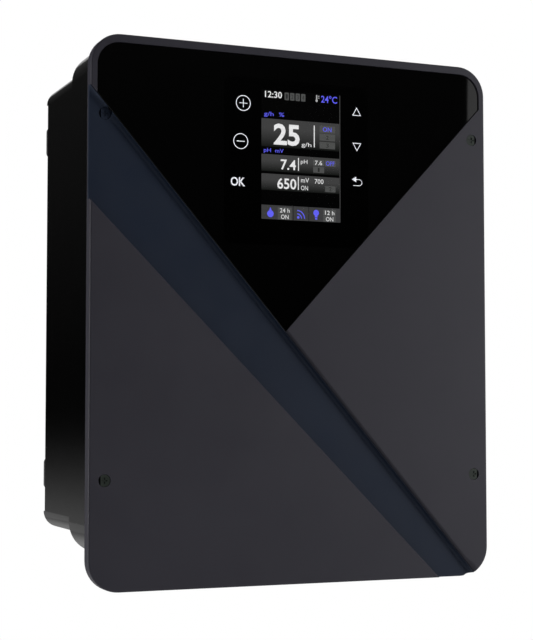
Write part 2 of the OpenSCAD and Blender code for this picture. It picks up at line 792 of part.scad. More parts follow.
module rear_housing() upright() color([0.04, 0.04, 0.045]) difference() {
  union() {
    housing_shell();
    back_corner_rim();
    mouth_flange();
    screw_bosses();
    step_gussets();
    housing_bosses();
  }
  translate([0, 0, groove_floor]) linear_extrude(groove_d + over) seal_ring(groove_in, groove_w);
  for (p = screws) rod(p, insert_d, mouth_z - screw_len - insert_sink, mouth_z + over);
  for (p = wall_holes) rod(p, wall_hole_d, 0, floor_z + wall_boss_h + over);
  for (p = concat(board_posts, psu_posts, sink_posts)) rod(p, small_pilot_d, back_z + pin_floor, mouth_z);
  for (p = wall_holes) spigot(p, spigot_d + 2 * spigot_gap);
  for (x = large_glands) under_hole(x, gland_d + 2 * thread_gap);
  for (x = small_glands) under_hole(x, small_gland_d + 2 * thread_gap);
  for (x = sockets) under_hole(x, socket_d + 2 * thread_gap);
  under(switch_x) translate([-switch_l / 2, -switch_w / 2, -wall - over])
    cube([switch_l, switch_w, wall + 2 * over]);
}

// Round tongue that keeps a spacer in place on the back
spigot_d = 9;
spigot_h = 1.5;
spigot_gap = 0.05;
module spigot(p, d) rod(p, d, back_z - over, back_z + spigot_h);

// Spacers that hold the back clear of the wall and let it drain
module wall_spacers() upright() color([0.06, 0.06, 0.065]) for (p = wall_holes) difference() {
  x = sign(p[0]) * (rear_w / 2 - spacer_in - spacer_w / 2);
  union() {
    translate([x, p[1], 0]) plate(spacer_w, spacer_h, spacer_r, 0, back_z);
    spigot(p, spigot_d);
  }
  rod(p, wall_hole_d, -over, floor_z);
}

module rim_gasket() upright() color([0.13, 0.13, 0.13])
  translate([0, 0, groove_floor]) linear_extrude(gasket_t) seal_ring(groove_in, groove_w);

module threaded_inserts() upright() color([0.75, 0.6, 0.3]) for (p = screws)
  tube(p, insert_d, 2 * insert_bore_r, mouth_z - insert_sink - insert_len, mouth_z - insert_sink);

// --- Power supply ----------------------------------------------------------------------

psu_board_z = sheet + 3;
psu_parts_z = psu_board_z + board_t;
psu_fit = 0.1;
psu_open_l = 18;
psu_skirt_gap = 4;

module at_psu() upright() translate([psu_x, psu_y, psu_z]) children();

module psu_tray() at_psu() color([0.72, 0.73, 0.75]) difference() {
  union() {
    block(0, 0, 0, psu_w, psu_l, sheet);
    for (x = [-1, 1])
      block(x * (psu_w / 2 - sheet / 2), 0, 0, sheet, psu_l, psu_t / 2);
  }
  for (p = psu_holes) rod(p, clear_hole_d, -over, sheet + over);
}

// Cover bent from one sheet: it stays open at the end where the terminals are
module psu_cover() at_psu() color([0.78, 0.79, 0.8]) difference() {
  inner = psu_w - 2 * (sheet + psu_fit);
  skirt_z = sheet + psu_skirt_gap;
  union() {
    block(0, psu_open_l / 2, psu_t - sheet, psu_w, psu_l - psu_open_l, sheet);
    for (x = [-1, 1])
      block(x * (inner / 2 - sheet / 2), psu_open_l / 2, skirt_z, sheet, psu_l - psu_open_l,
        psu_t - skirt_z);
    block(0, psu_l / 2 - sheet / 2, sheet, psu_w - 2 * sheet, sheet, psu_t - sheet);
  }
  vent_slots();
}

vent_margin = 6;
vent_bridge = 5;
vent_round = 0.47;

module vent_slots() {
  cell_w = (psu_w - 2 * vent_margin) / vent_cols;
  cell_l = (psu_l - psu_open_l - 2 * vent_margin) / vent_rows;
  for (i = [0 : vent_cols - 1], j = [0 : vent_rows - 1])
    translate([(i + 0.5 - vent_cols / 2) * cell_w, psu_open_l / 2 + (j + 0.5 - vent_rows / 2) * cell_l,
      psu_t - sheet - over])
      linear_extrude(sheet + 2 * over) round_rect(cell_w - vent_bridge, vent_w, vent_round * vent_w);
}

psu_board_in = 3;
psu_board_end = 2;
psu_stud_d = 5;
psu_stud_in = 16;

module psu_board() at_psu() color([0.6, 0.5, 0.25]) {
  block(0, 0, psu_board_z, psu_w - 2 * psu_board_in, psu_l - 2 * psu_board_end, board_t);
  for (x = [-1, 1], y = [-1, 1])
    rod([x * (psu_w / 2 - psu_stud_in), y * (psu_l / 2 - psu_hole_in[1])], psu_stud_d, sheet, psu_board_z);
}

// The transformer and the bulk capacitors are as wide as the supply lets them be
transformer_at = [0.13 * psu_w, 14];
core_size = [0.385 * psu_w, 26, 20];
coil_size = [0.46 * psu_w, 18, 12];
bulk_d = 0.28 * psu_w;
bulk_h = 24;
bulk_pitch = 1.2 * bulk_d;
bulk_in = 8;

module psu_transformer() at_psu() color([0.75, 0.65, 0.2]) {
  translate([transformer_at[0], transformer_at[1], psu_parts_z]) {
    block(0, 0, 0, core_size[0], core_size[1], core_size[2]);
    block(0, 0, (core_size[2] - coil_size[2]) / 2, coil_size[0], coil_size[1], coil_size[2]);
  }
  for (i = [0, 1])
    rod([-bulk_d, i * bulk_pitch - bulk_in], bulk_d, psu_parts_z, psu_parts_z + bulk_h);
}

// Terminals, one kind a line: pitch, depth and height, with the middle's distance from the edge
psu_way = [9.5, 15, 15];
psu_row_in = 11;
psu_row_margin = 10;
mains_way = [9.5, 16, 18];
mains_row_in = 9;
relay_way = [5.08, 11, 14];
relay_row_in = 7;
sensor_way = [3.81, 9, 11];
sensor_row_in = 6;

module psu_terminals() at_psu() color([0.08, 0.08, 0.08])
  terminal_row([0, psu_row_in - psu_l / 2, psu_parts_z], psu_w - 2 * psu_row_margin, psu_way);

// A row of as many screw terminals as the room takes: wire entries toward the bottom edge,
// screw wells on top
module terminal_row(at, room, way) translate(at) difference() {
  pitch = way[0];
  depth = way[1];
  t = way[2];
  ways = floor(room / pitch);
  well_d = 0.62 * pitch;
  well_y = 0.1 * depth;
  well_z = 0.62 * t;
  entry = [0.64 * pitch, 0.55 * depth, 0.38 * t];
  entry_z = 0.15 * t;
  block(0, 0, 0, ways * pitch, depth, t);
  for (i = [0 : ways - 1]) translate([(i + 0.5 - ways / 2) * pitch, 0, 0]) {
    rod([0, well_y], well_d, well_z, t + over);
    translate([-entry[0] / 2, -depth / 2 - over, entry_z]) cube(entry);
  }
}

// --- Cell power stage ------------------------------------------------------------------

module at_sink() upright() translate([-psu_x, psu_y, sink_z]) children();

head_room_d = small_head_d + 2;

module heat_sink() at_sink() color([0.7, 0.71, 0.73]) difference() {
  pitch = (sink_w - fin_t) / (fin_count - 1);
  union() {
    block(0, 0, 0, sink_w, sink_l, sink_base);
    for (i = [0 : fin_count - 1])
      block(-sink_w / 2 + fin_t / 2 + i * pitch, shelf_l / 2, sink_base - over, fin_t,
        sink_l - shelf_l, fin_h + over);
  }
  for (p = sink_holes) {
    rod(p, head_room_d, sink_base, sink_base + fin_h + over);
    rod(p, clear_hole_d, -over, sink_base + over);
  }
}

transistor_size = [15.8, 20.6, 5];
transistor_pitch = sink_w / 4;
transistor_in = 3.7;
lead_out = 13;
lead_z = 2;
transistor_hole_d = 3.6;
lead_size = [1.2, 6, 0.8];
lead_pitch = 5.4;

module power_transistors() at_sink() color([0.1, 0.1, 0.11]) for (i = [-1 : 1])
  translate([i * transistor_pitch, -sink_l / 2 + transistor_size[1] / 2 + transistor_in, sink_base])
  difference() {
    union() {
      block(0, 0, 0, transistor_size[0], transistor_size[1], transistor_size[2]);
      for (j = [-1 : 1])
        block(j * lead_pitch, -lead_out, lead_z, lead_size[0], lead_size[1], lead_size[2]);
    }
    rod([0, transistor_size[1] / 4], transistor_hole_d, -over, transistor_size[2] + over);
  }

// --- Main board ------------------------------------------------------------------------
// Parts on the board are placed from its middle, in shares of its width and length

module at_board() upright() translate([0, board_y, board_top]) children();

function on_board(x, y) = [x * board_w, y * board_l];

module main_board() upright() color([0.05, 0.32, 0.17]) difference() {
  translate([0, board_y, 0]) plate(board_w, board_l, board_r, board_z, board_top);
  for (p = board_posts) rod(p, clear_hole_d, board_z - over, board_top + over);
}

// Middle and length of each row, as shares of the board's width
mains_row = [-0.25, 0.29];
relay_row = [0.143, 0.215];
sensor_row = [0.351, 0.185];

module board_terminals(row, row_in, way)
  terminal_row([row[0] * board_w, board_low + row_in, 0], row[1] * board_w, way);

module mains_terminals() at_board() color([0.1, 0.1, 0.1])
  board_terminals(mains_row, mains_row_in, mains_way);

module relay_terminals() at_board() color([0.16, 0.5, 0.25])
  board_terminals(relay_row, relay_row_in, relay_way);

module sensor_terminals() at_board() color([0.16, 0.5, 0.25])
  board_terminals(sensor_row, sensor_row_in, sensor_way);

module part_at(p) translate([p[0], p[1], 0]) children();

small_relay = [15.5, 19.5, 15.5];
small_relays = [for (x = [-0.054, 0.065, 0.184]) on_board(x, -0.208)];
large_relay = [22, 28, 26];
large_relays = [for (x = [-0.393, -0.238]) on_board(x, 0.062)];

module relays() at_board() color([0.14, 0.3, 0.62]) {
  for (p = small_relays) part_at(p) block(0, 0, 0, small_relay[0], small_relay[1], small_relay[2]);
  for (p = large_relays) part_at(p) block(0, 0, 0, large_relay[0], large_relay[1], large_relay[2]);
}

fuse_at = on_board(-0.274, -0.208);
fuse_d = 5.2;
fuse_l = 20;
fuse_z = 5;
clip_size = [5, 8, 8.5];
clip_pitch = 18;
clip_mouth = 4.4;
clip_gap = 0.02;

module along_x(d, x0, x1) translate([x0, 0, 0]) rotate([0, 90, 0]) cylinder(d = d, h = x1 - x0);

module fuse_holder() at_board() color([0.75, 0.76, 0.78]) for (s = [-1, 1])
  part_at(fuse_at + [s * clip_pitch / 2, 0]) difference() {
    block(0, 0, 0, clip_size[0], clip_size[1], clip_size[2]);
    translate([0, 0, fuse_z]) along_x(fuse_d + 2 * clip_gap, -clip_size[0], clip_size[0]);
    block(0, 0, fuse_z, clip_size[0] + over, clip_mouth, clip_size[2]);
  }

module glass_fuse() at_board() color([0.8, 0.85, 0.86])
  part_at(fuse_at) translate([0, 0, fuse_z]) along_x(fuse_d, -fuse_l / 2, fuse_l / 2);

large_cap_d = 12.5;
large_cap_h = 25;
large_caps = [for (x = [-0.036, 0.06, 0.155]) on_board(x, 0.25)];
small_cap_d = 6.3;
small_cap_h = 11;
small_caps = [for (x = [-0.065, -0.006, 0.054, 0.113]) on_board(x, 0.083)];

module capacitors() at_board() color([0.1, 0.12, 0.2]) {
  for (p = large_caps) rod(p, large_cap_d, 0, large_cap_h);
  for (p = small_caps) rod(p, small_cap_d, 0, small_cap_h);
}

choke_ring_r = 9;
choke_wire_d = 10;

module output_choke() at_board() color([0.72, 0.42, 0.2])
  part_at(on_board(0.369, 0.23)) translate([0, 0, choke_wire_d / 2])
    rotate_extrude() translate([choke_ring_r, 0]) circle(d = choke_wire_d);

chip_w = 14;
chip_t = 1.4;
chip_z = 0.4;
leg = [1.4, 0.5, 0.7];
leg_out = 0.6;
leg_pitch = 1.1;

module controller_chip() at_board() color([0.07, 0.07, 0.07]) part_at(on_board(0.31, -0.125)) {
  block(0, 0, chip_z, chip_w, chip_w, chip_t);
  for (side = [0 : 90 : 270], i = [-5 : 5])
    rotate(side) block(chip_w / 2 + leg_out, i * leg_pitch, 0, leg[0], leg[1], leg[2]);
}

cell_d = 16;
cell_t = 3.2;

module clock_cell() at_board() color([0.78, 0.78, 0.8]) rod(on_board(0.43, -0.083), cell_d, 0, cell_t);

module ribbon_header() at_board() color([0.08, 0.08, 0.08])
  part_at(on_board(0.179, 0.396)) box_header();

module board_screws() upright() color([0.72, 0.72, 0.74]) {
  for (p = board_posts)
    pan_screw(p, small_screw_d, small_head_d, small_head_t, board_t + small_screw_grip, board_top);
  for (p = psu_posts)
    pan_screw(p, small_screw_d, small_head_d, flat_head_t, sheet + foot_h, psu_z + sheet);
  for (p = sink_posts)
    pan_screw(p, small_screw_d, small_head_d, small_head_t, sink_base + foot_h, sink_z + sink_base);
}

// --- Underside -------------------------------------------------------------------------
// Each gland is drawn along its own axis: z = 0 is the underside's face and z goes outward

washer_t = 1.2;
flange_len = 6;
nut_len = 5;
thread_end = -wall - nut_len - 2;
neck_len = 8;
seal_len = 9;
dome_z = washer_t + flange_len + 0.4;
dome_len = 16;
dome_round_len = 5;
// Proportions of a gland, as shares of its thread's diameter
flats_share = 1.36;
washer_share = 1.3;
round_share = 1.14;
seal_share = 0.82;
bore_share = 0.7;
neck_step = 1;

module each_gland() {
  for (x = large_glands) upright() under(x) gland_scope(gland_d, cable_d) children();
  for (x = small_glands) upright() under(x) gland_scope(small_gland_d, small_cable_d) children();
}

// Passes a gland's thread and cable size on to its parts
module gland_scope(d, bore) {
  $thread = d;
  $cable = bore;
  children();
}

module hexagon(d, z0, z1) translate([0, 0, z0]) cylinder(d = d, h = z1 - z0, $fn = 6);

module disc(d, z0, z1) translate([0, 0, z0]) cylinder(d = d, h = z1 - z0);

module gland_bodies() color([0.09, 0.09, 0.095]) each_gland() difference() {
  union() {
    disc($thread, thread_end, washer_t + over);
    hexagon($thread * flats_share, washer_t, washer_t + flange_len);
    disc($thread - neck_step, washer_t, washer_t + flange_len + neck_len);
  }
  disc($thread * bore_share, thread_end - over, washer_t + flange_len + neck_len + over);
  // Seat of the rubber seal
  disc($thread * seal_share, washer_t + flange_len, washer_t + flange_len + neck_len + over);
}

module gland_washers() color([0.15, 0.15, 0.15]) each_gland() difference() {
  disc($thread * washer_share, 0, washer_t);
  disc($thread, -over, washer_t + over);
}

module gland_seals() color([0.12, 0.12, 0.12]) each_gland() difference() {
  disc($thread * seal_share, washer_t + flange_len, washer_t + flange_len + seal_len);
  disc($cable, 0, washer_t + flange_len + seal_len + over);
}

module gland_lock_nuts() color([0.1, 0.1, 0.1]) each_gland() difference() {
  hexagon($thread * flats_share, -wall - nut_len, -wall);
  disc($thread, -wall - nut_len - over, -wall + over);
}

// Dome nut: a hexagon that turns into a round dome, bored for the body and the cable
module gland_dome_nuts() color([0.09, 0.09, 0.095]) each_gland() difference() {
  union() {
    intersection() {
      hexagon($thread * flats_share, dome_z, dome_z + dome_len);
      translate([0, 0, dome_z]) rotate_extrude() dome_section($thread * flats_share / 2, dome_len);
    }
    disc($thread * round_share, dome_z, dome_z + dome_len - dome_round_len);
  }
  disc($thread - neck_step, dome_z - over, washer_t + flange_len + seal_len + 0.4);
  disc($thread * bore_share, dome_z, dome_z + dome_len + over);
}

module dome_section(r, h) intersection() {
  square([r, h]);
  translate([r - h, 0]) circle(h);
}

socket_hex_share = 1.34;
socket_hex_t = 2.4;
socket_tail = 6;
barrel_len = 12.5;
barrel_wall = 0.8;
lug_d = 2;
lug_z = 8;
lug_out = 1.2;
core_d = barrel_d - 3;
contact_d = 2.2;

module each_socket() for (x = sockets) upright() under(x) children();

module probe_sockets() color([0.78, 0.78, 0.76]) each_socket() difference() {
  union() {
    disc(socket_d, -wall - socket_tail, 0);
    hexagon(socket_d * socket_hex_share, 0, socket_hex_t);
    disc(barrel_d, 0, barrel_len);
    // Bayonet lugs
    translate([0, 0, lug_z]) rotate([90, 0, 0])
      cylinder(d = lug_d, h = barrel_d + 2 * lug_out, center = true);
  }
  disc(barrel_d - 2 * barrel_wall, socket_hex_t, barrel_len + over);
  disc(core_d, -wall - socket_tail - over, barrel_len);
}

module socket_insulators() color([0.93, 0.93, 0.9]) each_socket() difference() {
  disc(core_d, -wall - socket_tail - 1, socket_tail + 1);
  disc(contact_d, -wall - socket_tail - 2, socket_tail + 2);
}

module socket_contacts() color([0.85, 0.7, 0.3]) each_socket()
  disc(contact_d, -wall - socket_tail - 4, socket_tail);

module socket_nuts() color([0.78, 0.78, 0.76]) each_socket() difference() {
  hexagon(socket_d * socket_hex_share, -wall - socket_hex_t, -wall);
  disc(socket_d, -wall - socket_hex_t - over, -wall + over);
}

// --- Power switch ----------------------------------------------------------------------
// Drawn along the outward axis too: z = 0 is the underside's face. The rocker's pivot runs
// front to back, so it rocks to the left and to the right.

rocker_l = switch_l - 7;
rocker_w = switch_w - 5.4;
rocker_r = rocker_l / 2;
rocker_below = 3;
finger_hollow = 4.6;
pivot_z = -1.6;
pin_len = 1.2;
pin_socket_len = 1.6;
switch_depth = 16;
switch_fit = 0.3;
switch_flange_t = 2;
switch_flange_r = 2;
tab = [0.8, 6.3, 8];
tab_pitch = [8.5, 5];

module at_switch() upright() under(switch_x) children();

module switch_body() at_switch() color([0.08, 0.08, 0.085]) difference() {
  union() {
    block(0, 0, -switch_depth, switch_l - 2 * switch_fit, switch_w - 2 * switch_fit, switch_depth);
    linear_extrude(switch_flange_t)
      round_rect(switch_l + 2 * bezel, switch_w + 2 * bezel, switch_flange_r);
  }
  // Well for the rocker, with sockets for its pivot pins
  across_switch(2 * (rocker_r + rocker_gap), rocker_w + 2 * rocker_gap);
  across_switch(pivot_d + 2 * pivot_gap, rocker_w + 2 * pin_socket_len);
}

// A cylinder on the pivot's axis
module across_switch(d, len) translate([0, 0, pivot_z]) rotate([90, 0, 0])
  cylinder(d = d, h = len, center = true);

// Rocker: a drum with two shallow finger faces, drawn in its ON position
module switch_rocker() at_switch() color([0.55, 0.07, 0.06]) {
  translate([0, 0, pivot_z]) rotate([0, rocker_tilt, 0]) rotate([90, 0, 0])
    linear_extrude(rocker_w, center = true) rocker_section();
  across_switch(pivot_d, rocker_w + 2 * pin_len);
}

module rocker_section() difference() {
  circle(rocker_r);
  translate([0, 2 * rocker_r + finger_hollow]) circle(2 * rocker_r, $fn = 96);
  translate([-rocker_r - over, -rocker_r - over])
    square([2 * (rocker_r + over), rocker_r - rocker_below + over]);
}

module switch_tabs() at_switch() color([0.8, 0.8, 0.78]) for (x = [-1, 0, 1], y = [-1, 1])
  if (x != 0 || y > 0)
    block(x * tab_pitch[0], y * tab_pitch[1], -switch_depth - tab[2], tab[0], tab[1], tab[2]);

// --- Nodes -----------------------------------------------------------------------------

rear_housing();
wall_spacers();
rim_gasket();
threaded_inserts();
psu_tray();
psu_cover();
psu_board();
psu_transformer();
psu_terminals();
heat_sink();
power_transistors();
main_board();
mains_terminals();
relay_terminals();
sensor_terminals();
relays();
fuse_holder();
glass_fuse();
capacitors();
output_choke();
controller_chip();
clock_cell();
ribbon_header();
board_screws();
gland_bodies();
gland_washers();
gland_seals();
gland_lock_nuts();
gland_dome_nuts();
probe_sockets();
socket_insulators();
socket_contacts();
socket_nuts();
switch_body();
switch_rocker();
switch_tabs();
front_cover();
navy_band();
display_lens();
lens_tape();
display_module();
display_glass();
display_board();
touch_pads();
display_header();
display_guard();
display_screws();
cover_screws();
screw_retainers();
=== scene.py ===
# %% [markdown]
# # A salt chlorine generator's control box
#
# The box hangs on the wall beside a pool's filter. Behind its front cover are a power supply, a
# power stage for the salt cell, a main board and a colour display. The construction comes as a
# ready frame of solids in metres, one object for each real piece, with X to the right, Z up and
# the wall at Y = 0, so that the cover's front looks along -Y.
#
# This lesson leaves the frame alone and adds what it lacks: a studio, a finish for every piece,
# and the fine pieces that are easier to model by hand than to construct, such as the lens with
# its clear window, the screen's picture, the signs on the keys and the small parts on the boards.

# %% Load the frame
import math
import random

import bpy
from mathutils import Euler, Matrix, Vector


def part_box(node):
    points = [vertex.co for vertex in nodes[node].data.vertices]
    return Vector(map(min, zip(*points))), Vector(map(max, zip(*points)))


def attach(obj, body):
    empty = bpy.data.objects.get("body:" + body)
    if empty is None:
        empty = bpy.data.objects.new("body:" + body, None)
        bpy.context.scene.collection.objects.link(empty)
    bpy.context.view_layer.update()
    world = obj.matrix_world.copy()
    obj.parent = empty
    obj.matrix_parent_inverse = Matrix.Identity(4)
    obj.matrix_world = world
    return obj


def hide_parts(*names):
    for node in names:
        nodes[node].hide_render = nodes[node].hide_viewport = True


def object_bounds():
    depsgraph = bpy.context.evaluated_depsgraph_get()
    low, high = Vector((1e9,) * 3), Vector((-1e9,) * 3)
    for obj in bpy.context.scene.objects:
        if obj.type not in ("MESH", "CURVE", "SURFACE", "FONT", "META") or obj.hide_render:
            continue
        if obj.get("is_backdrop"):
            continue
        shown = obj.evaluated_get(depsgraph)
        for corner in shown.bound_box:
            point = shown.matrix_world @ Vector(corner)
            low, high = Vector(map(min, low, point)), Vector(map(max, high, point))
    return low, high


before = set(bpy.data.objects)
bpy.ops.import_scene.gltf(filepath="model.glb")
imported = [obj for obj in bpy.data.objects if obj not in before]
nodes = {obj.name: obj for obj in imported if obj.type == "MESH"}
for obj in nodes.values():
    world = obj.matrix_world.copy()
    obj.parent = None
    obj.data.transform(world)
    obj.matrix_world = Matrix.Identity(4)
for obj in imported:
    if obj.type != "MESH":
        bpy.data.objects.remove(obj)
frame_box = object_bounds()

# %% [markdown]
# ## A millimetre
#
# Every real size below is written in millimetres, because such parts are drawn so, and one
# value turns it into Blender's metres. The places come from the frame: each construction piece
# can be asked for its lowest and highest corner.

# %% The millimetre and the places of the main pieces
MM = 0.001

cover_low, cover_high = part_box("front_cover")
lens_low, lens_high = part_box("display_lens")
glass_low, glass_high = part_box("display_glass")
cover_middle = (cover_low + cover_high) / 2
lens_front = lens_low.y
lens_back = lens_high.y
print("cover", [round(v / MM, 1) for v in cover_high - cover_low], "mm")
print("lens front at", round(lens_front / MM, 2), "mm and back at", round(lens_back / MM, 2), "mm")

# %% [markdown]
# ## Starting clean
#
# An operator acts on all that is selected, so each modelling step begins with nothing selected
# and in object mode. The last two helpers below pick faces or edges in code, by their place and
# normal, as a click would by hand.

# %% Helpers that select
def close_mesh():
    """Goes back to object mode."""
    bpy.ops.object.mode_set(mode="OBJECT")


def start_clean():
    """Leaves object mode with nothing selected."""
    if bpy.context.object and bpy.context.object.mode != "OBJECT":
        close_mesh()
    bpy.ops.object.select_all(action="DESELECT")


def take(piece):
    """Makes one piece the only selected and the active one."""
    start_clean()
    piece.select_set(True)
    bpy.context.view_layer.objects.active = piece


def open_mesh(piece, element, whole=False):
    """Opens the piece in edit mode for VERT, EDGE or FACE, with all or nothing selected."""
    take(piece)
    bpy.ops.object.mode_set(mode="EDIT")
    bpy.ops.mesh.select_mode(type=element)
    bpy.ops.mesh.select_all(action="SELECT" if whole else "DESELECT")


def fix_place():
    """Puts the place, turn and size of what is selected into its mesh."""
    bpy.ops.object.transform_apply(location=True, rotation=True, scale=True)


def coat(piece, finish):
    """Gives the whole piece one finish."""
    piece.data.materials.clear()
    piece.data.materials.append(finish)


def pick_faces(piece, wanted):
    """Selects the faces whose centre and normal pass the test, and stays in edit mode."""
    open_mesh(piece, "FACE")
    close_mesh()
    for face in piece.data.polygons:
        face.select = wanted(face.center, face.normal)
    bpy.ops.object.mode_set(mode="EDIT")


def pick_edges(piece, wanted):
    """Selects the edges whose two ends pass the test, and stays in edit mode."""
    open_mesh(piece, "EDGE")
    close_mesh()
    points = piece.data.vertices
    for edge in piece.data.edges:
        first, second = edge.vertices
        edge.select = wanted(points[first].co, points[second].co)
    bpy.ops.object.mode_set(mode="EDIT")

# %% [markdown]
# ## The studio
#
# A dark, partly glossy product is lit like this in a real studio: a large soft box on the
# right gives the panels their slow gradient, a smaller one behind the box on the left lights
# the housing's side, and the room itself stays dim, because whatever stands in the room shows
# in the black gloss. A white paper roll hangs behind the box.
#
# The world plays the room. Camera rays see the white paper everywhere. Rays that leave a glossy
# or a clear surface see it too, but only as wide as a paper roll is, with the dim room and one
# white card beside it. All other rays meet an even grey light, which together with the lamps
# gives a level at which a colour renders about as it is written.

# %% One node at a time
def add_node(tree, kind, settings=None, links=None):
    """Adds a node, sets its sockets or properties by name, and links sources to its sockets."""
    node = tree.nodes.new(kind)
    for name, value in (settings or {}).items():
        if isinstance(name, int) or name in node.inputs:
            node.inputs[name].default_value = value
        else:
            setattr(node, name, value)
    for name, source in (links or {}).items():
        tree.links.new(source, node.inputs[name])
    return node


def add_maths(tree, operation, first, second=None, third=None):
    """One Math node on sources or plain numbers. Returns its value."""
    node = add_node(tree, "ShaderNodeMath", {"operation": operation})
    for place, value in enumerate((first, second, third)):
        if value is None:
            continue
        if isinstance(value, (int, float)):
            node.inputs[place].default_value = value
        else:
            tree.links.new(value, node.inputs[place])
    return node.outputs[0]


def add_ramp(tree, factor, stops):
    """A ColorRamp through (place, value) or (place, colour) stops."""
    node = add_node(tree, "ShaderNodeValToRGB", {}, {"Fac": factor})
    ramp = node.color_ramp
    for index, (place, value) in enumerate(stops):
        stop = ramp.elements[index] if index < 2 else ramp.elements.new(place)
        stop.position = place
        stop.color = (value, value, value, 1) if isinstance(value, (int, float)) else value
    return node.outputs[0]


# %% The room seen by gloss
ROOM_LIGHT = 0.42
CARD_STARTS = math.radians(30.2)
CARD_ENDS = math.radians(36)
CARD_TOP = 0.30
CARD_FOOT = 0.02
CARD_LIGHT = 0.85
ROLL_MIDDLE = math.radians(22.7)
ROLL_HALF = math.radians(19)
ROLL_FOOT = 0.0
ROLL_FADE = [(0.0, 1.0), (0.10, 0.9), (0.35, 0.45)]

world = bpy.data.worlds.new("pool_room_studio")
bpy.context.scene.world = world
world.use_nodes = True
room = world.node_tree
room.nodes.clear()
ray = add_node(room, "ShaderNodeLightPath")
where = add_node(room, "ShaderNodeTexCoord")
way = add_node(room, "ShaderNodeSeparateXYZ", {}, {"Vector": where.outputs["Generated"]})
across, along, up = way.outputs[0], way.outputs[1], way.outputs[2]

from_front = add_maths(room, "ARCTAN2", across, add_maths(room, "MULTIPLY", along, -1.0))
in_card = add_maths(room, "MULTIPLY",
                    add_maths(room, "GREATER_THAN", from_front, CARD_STARTS),
                    add_maths(room, "LESS_THAN", from_front, CARD_ENDS))
in_card = add_maths(room, "MULTIPLY", in_card, add_maths(room, "LESS_THAN", up, CARD_TOP))
in_card = add_maths(room, "MULTIPLY", in_card, add_maths(room, "GREATER_THAN", up, CARD_FOOT))
in_card = add_maths(room, "MULTIPLY", in_card, CARD_LIGHT)

from_back = add_maths(room, "ARCTAN2", across, along)
off_roll = add_maths(room, "ABSOLUTE", add_maths(room, "SUBTRACT", from_back, ROLL_MIDDLE))
in_roll = add_maths(room, "LESS_THAN", off_roll, ROLL_HALF)
in_roll = add_maths(room, "MULTIPLY", in_roll, add_maths(room, "GREATER_THAN", up, ROLL_FOOT))
in_roll = add_maths(room, "MULTIPLY", in_roll, add_ramp(room, up, ROLL_FADE))

height = add_maths(room, "MULTIPLY_ADD", up, 0.5, 0.5)
dim_room = add_ramp(room, height, [
    (0.0, 0.30), (0.30, 0.30), (0.44, 0.30), (0.466, 0.20), (0.471, 0.13), (0.481, 0.045),
    (0.49, 0.006), (0.497, 0.0), (0.51, 0.0), (0.60, 0.016), (0.80, 0.10), (1.0, 0.4),
])
gloss_sees = add_maths(room, "MAXIMUM", dim_room, add_maths(room, "MAXIMUM", in_card, in_roll))
glossy_or_clear = add_maths(room, "MAXIMUM", ray.outputs["Is Glossy Ray"],
                            ray.outputs["Is Transmission Ray"])
seen = add_node(room, "ShaderNodeMix", {2: ROOM_LIGHT}, {0: glossy_or_clear, 3: gloss_sees})
strength = add_node(room, "ShaderNodeMix", {3: 1.0},
                    {0: ray.outputs["Is Camera Ray"], 2: seen.outputs[0]})
air = add_node(room, "ShaderNodeBackground", {"Color": (1, 1, 1, 1)},
               {"Strength": strength.outputs[0]})
add_node(room, "ShaderNodeOutputWorld", {}, {"Surface": air.outputs[0]})
print("studio room:", len(room.nodes), "nodes")

# %% [markdown]
# ### Lamps, floor and camera
#
# Each soft box is an area lamp that points at the middle of the box. The floor is a wide pale
# sheet some way under it, which takes the shadow and fades into the white paper at its rim. The
# camera stands a little to the left of the box and low, and looks slightly upwards with a long
# lens, so the housing's left side shows and its lines run nearly level.

# %% Soft boxes
def soft_box(name, place, target, wide, tall, watts):
    """A rectangular area lamp at place that looks at target."""
    lamp = bpy.data.lights.new(name, "AREA")
    lamp.shape = "RECTANGLE"
    lamp.size = wide
    lamp.size_y = tall
    lamp.energy = watts
    holder = bpy.data.objects.new(name, lamp)
    bpy.context.scene.collection.objects.link(holder)
    holder.location = place
    holder.rotation_euler = (Vector(target) - Vector(place)).to_track_quat("-Z", "Y").to_euler()
    print(name, watts, "W at", [round(v, 2) for v in place])
    return holder


box_middle = (0.0, cover_middle.y, cover_middle.z)
soft_box("soft_box_right", (1.45, -0.95, 0.15), box_middle, 0.8, 0.8, 23.4)
soft_box("soft_box_left", (-1.5, 0.30, -0.10), box_middle, 0.5, 1.0, 23)
soft_box("soft_box_top", (0.1, -0.2, 1.5), box_middle, 0.8, 0.8, 3)
rear_box = soft_box("soft_box_rear", (0.8, 1.6, 0.5), box_middle, 0.8, 0.8, 9)
# the black gloss doesn't mirror this one, or the housing's right wall would burn out
rear_box.visible_glossy = False

# %% The floor
FLOOR_DROP = 0.30
FLOOR_HALF = 1.5
FLOOR_IN_GLOSS = 0.22

start_clean()
floor_height = cover_low.z - FLOOR_DROP
bpy.ops.mesh.primitive_circle_add(vertices=64, radius=FLOOR_HALF, fill_type="NGON",
                                  location=(0, 0, floor_height))
floor = bpy.context.object
floor.name = "studio_floor"
bpy.ops.object.transform_apply(location=True)
paper = bpy.data.materials.new("pale_paper")
paper.use_nodes = True
tree = paper.node_tree
tree.nodes.clear()
ray = add_node(tree, "ShaderNodeLightPath")
place = add_node(tree, "ShaderNodeTexCoord")
from_box = add_node(tree, "ShaderNodeVectorMath", {"operation": "LENGTH"},
                    {0: place.outputs["Object"]})
fade = add_node(tree, "ShaderNodeMapRange", {"From Min": 0.55, "From Max": FLOOR_HALF - 0.05},
                {"Value": from_box.outputs["Value"]})
shown = add_maths(tree, "MAXIMUM", ray.outputs["Is Camera Ray"],
                  add_maths(tree, "MAXIMUM", ray.outputs["Is Glossy Ray"],
                            ray.outputs["Is Transmission Ray"]))
matt = add_node(tree, "ShaderNodeBsdfDiffuse", {"Color": (0.86, 0.86, 0.86, 1)})
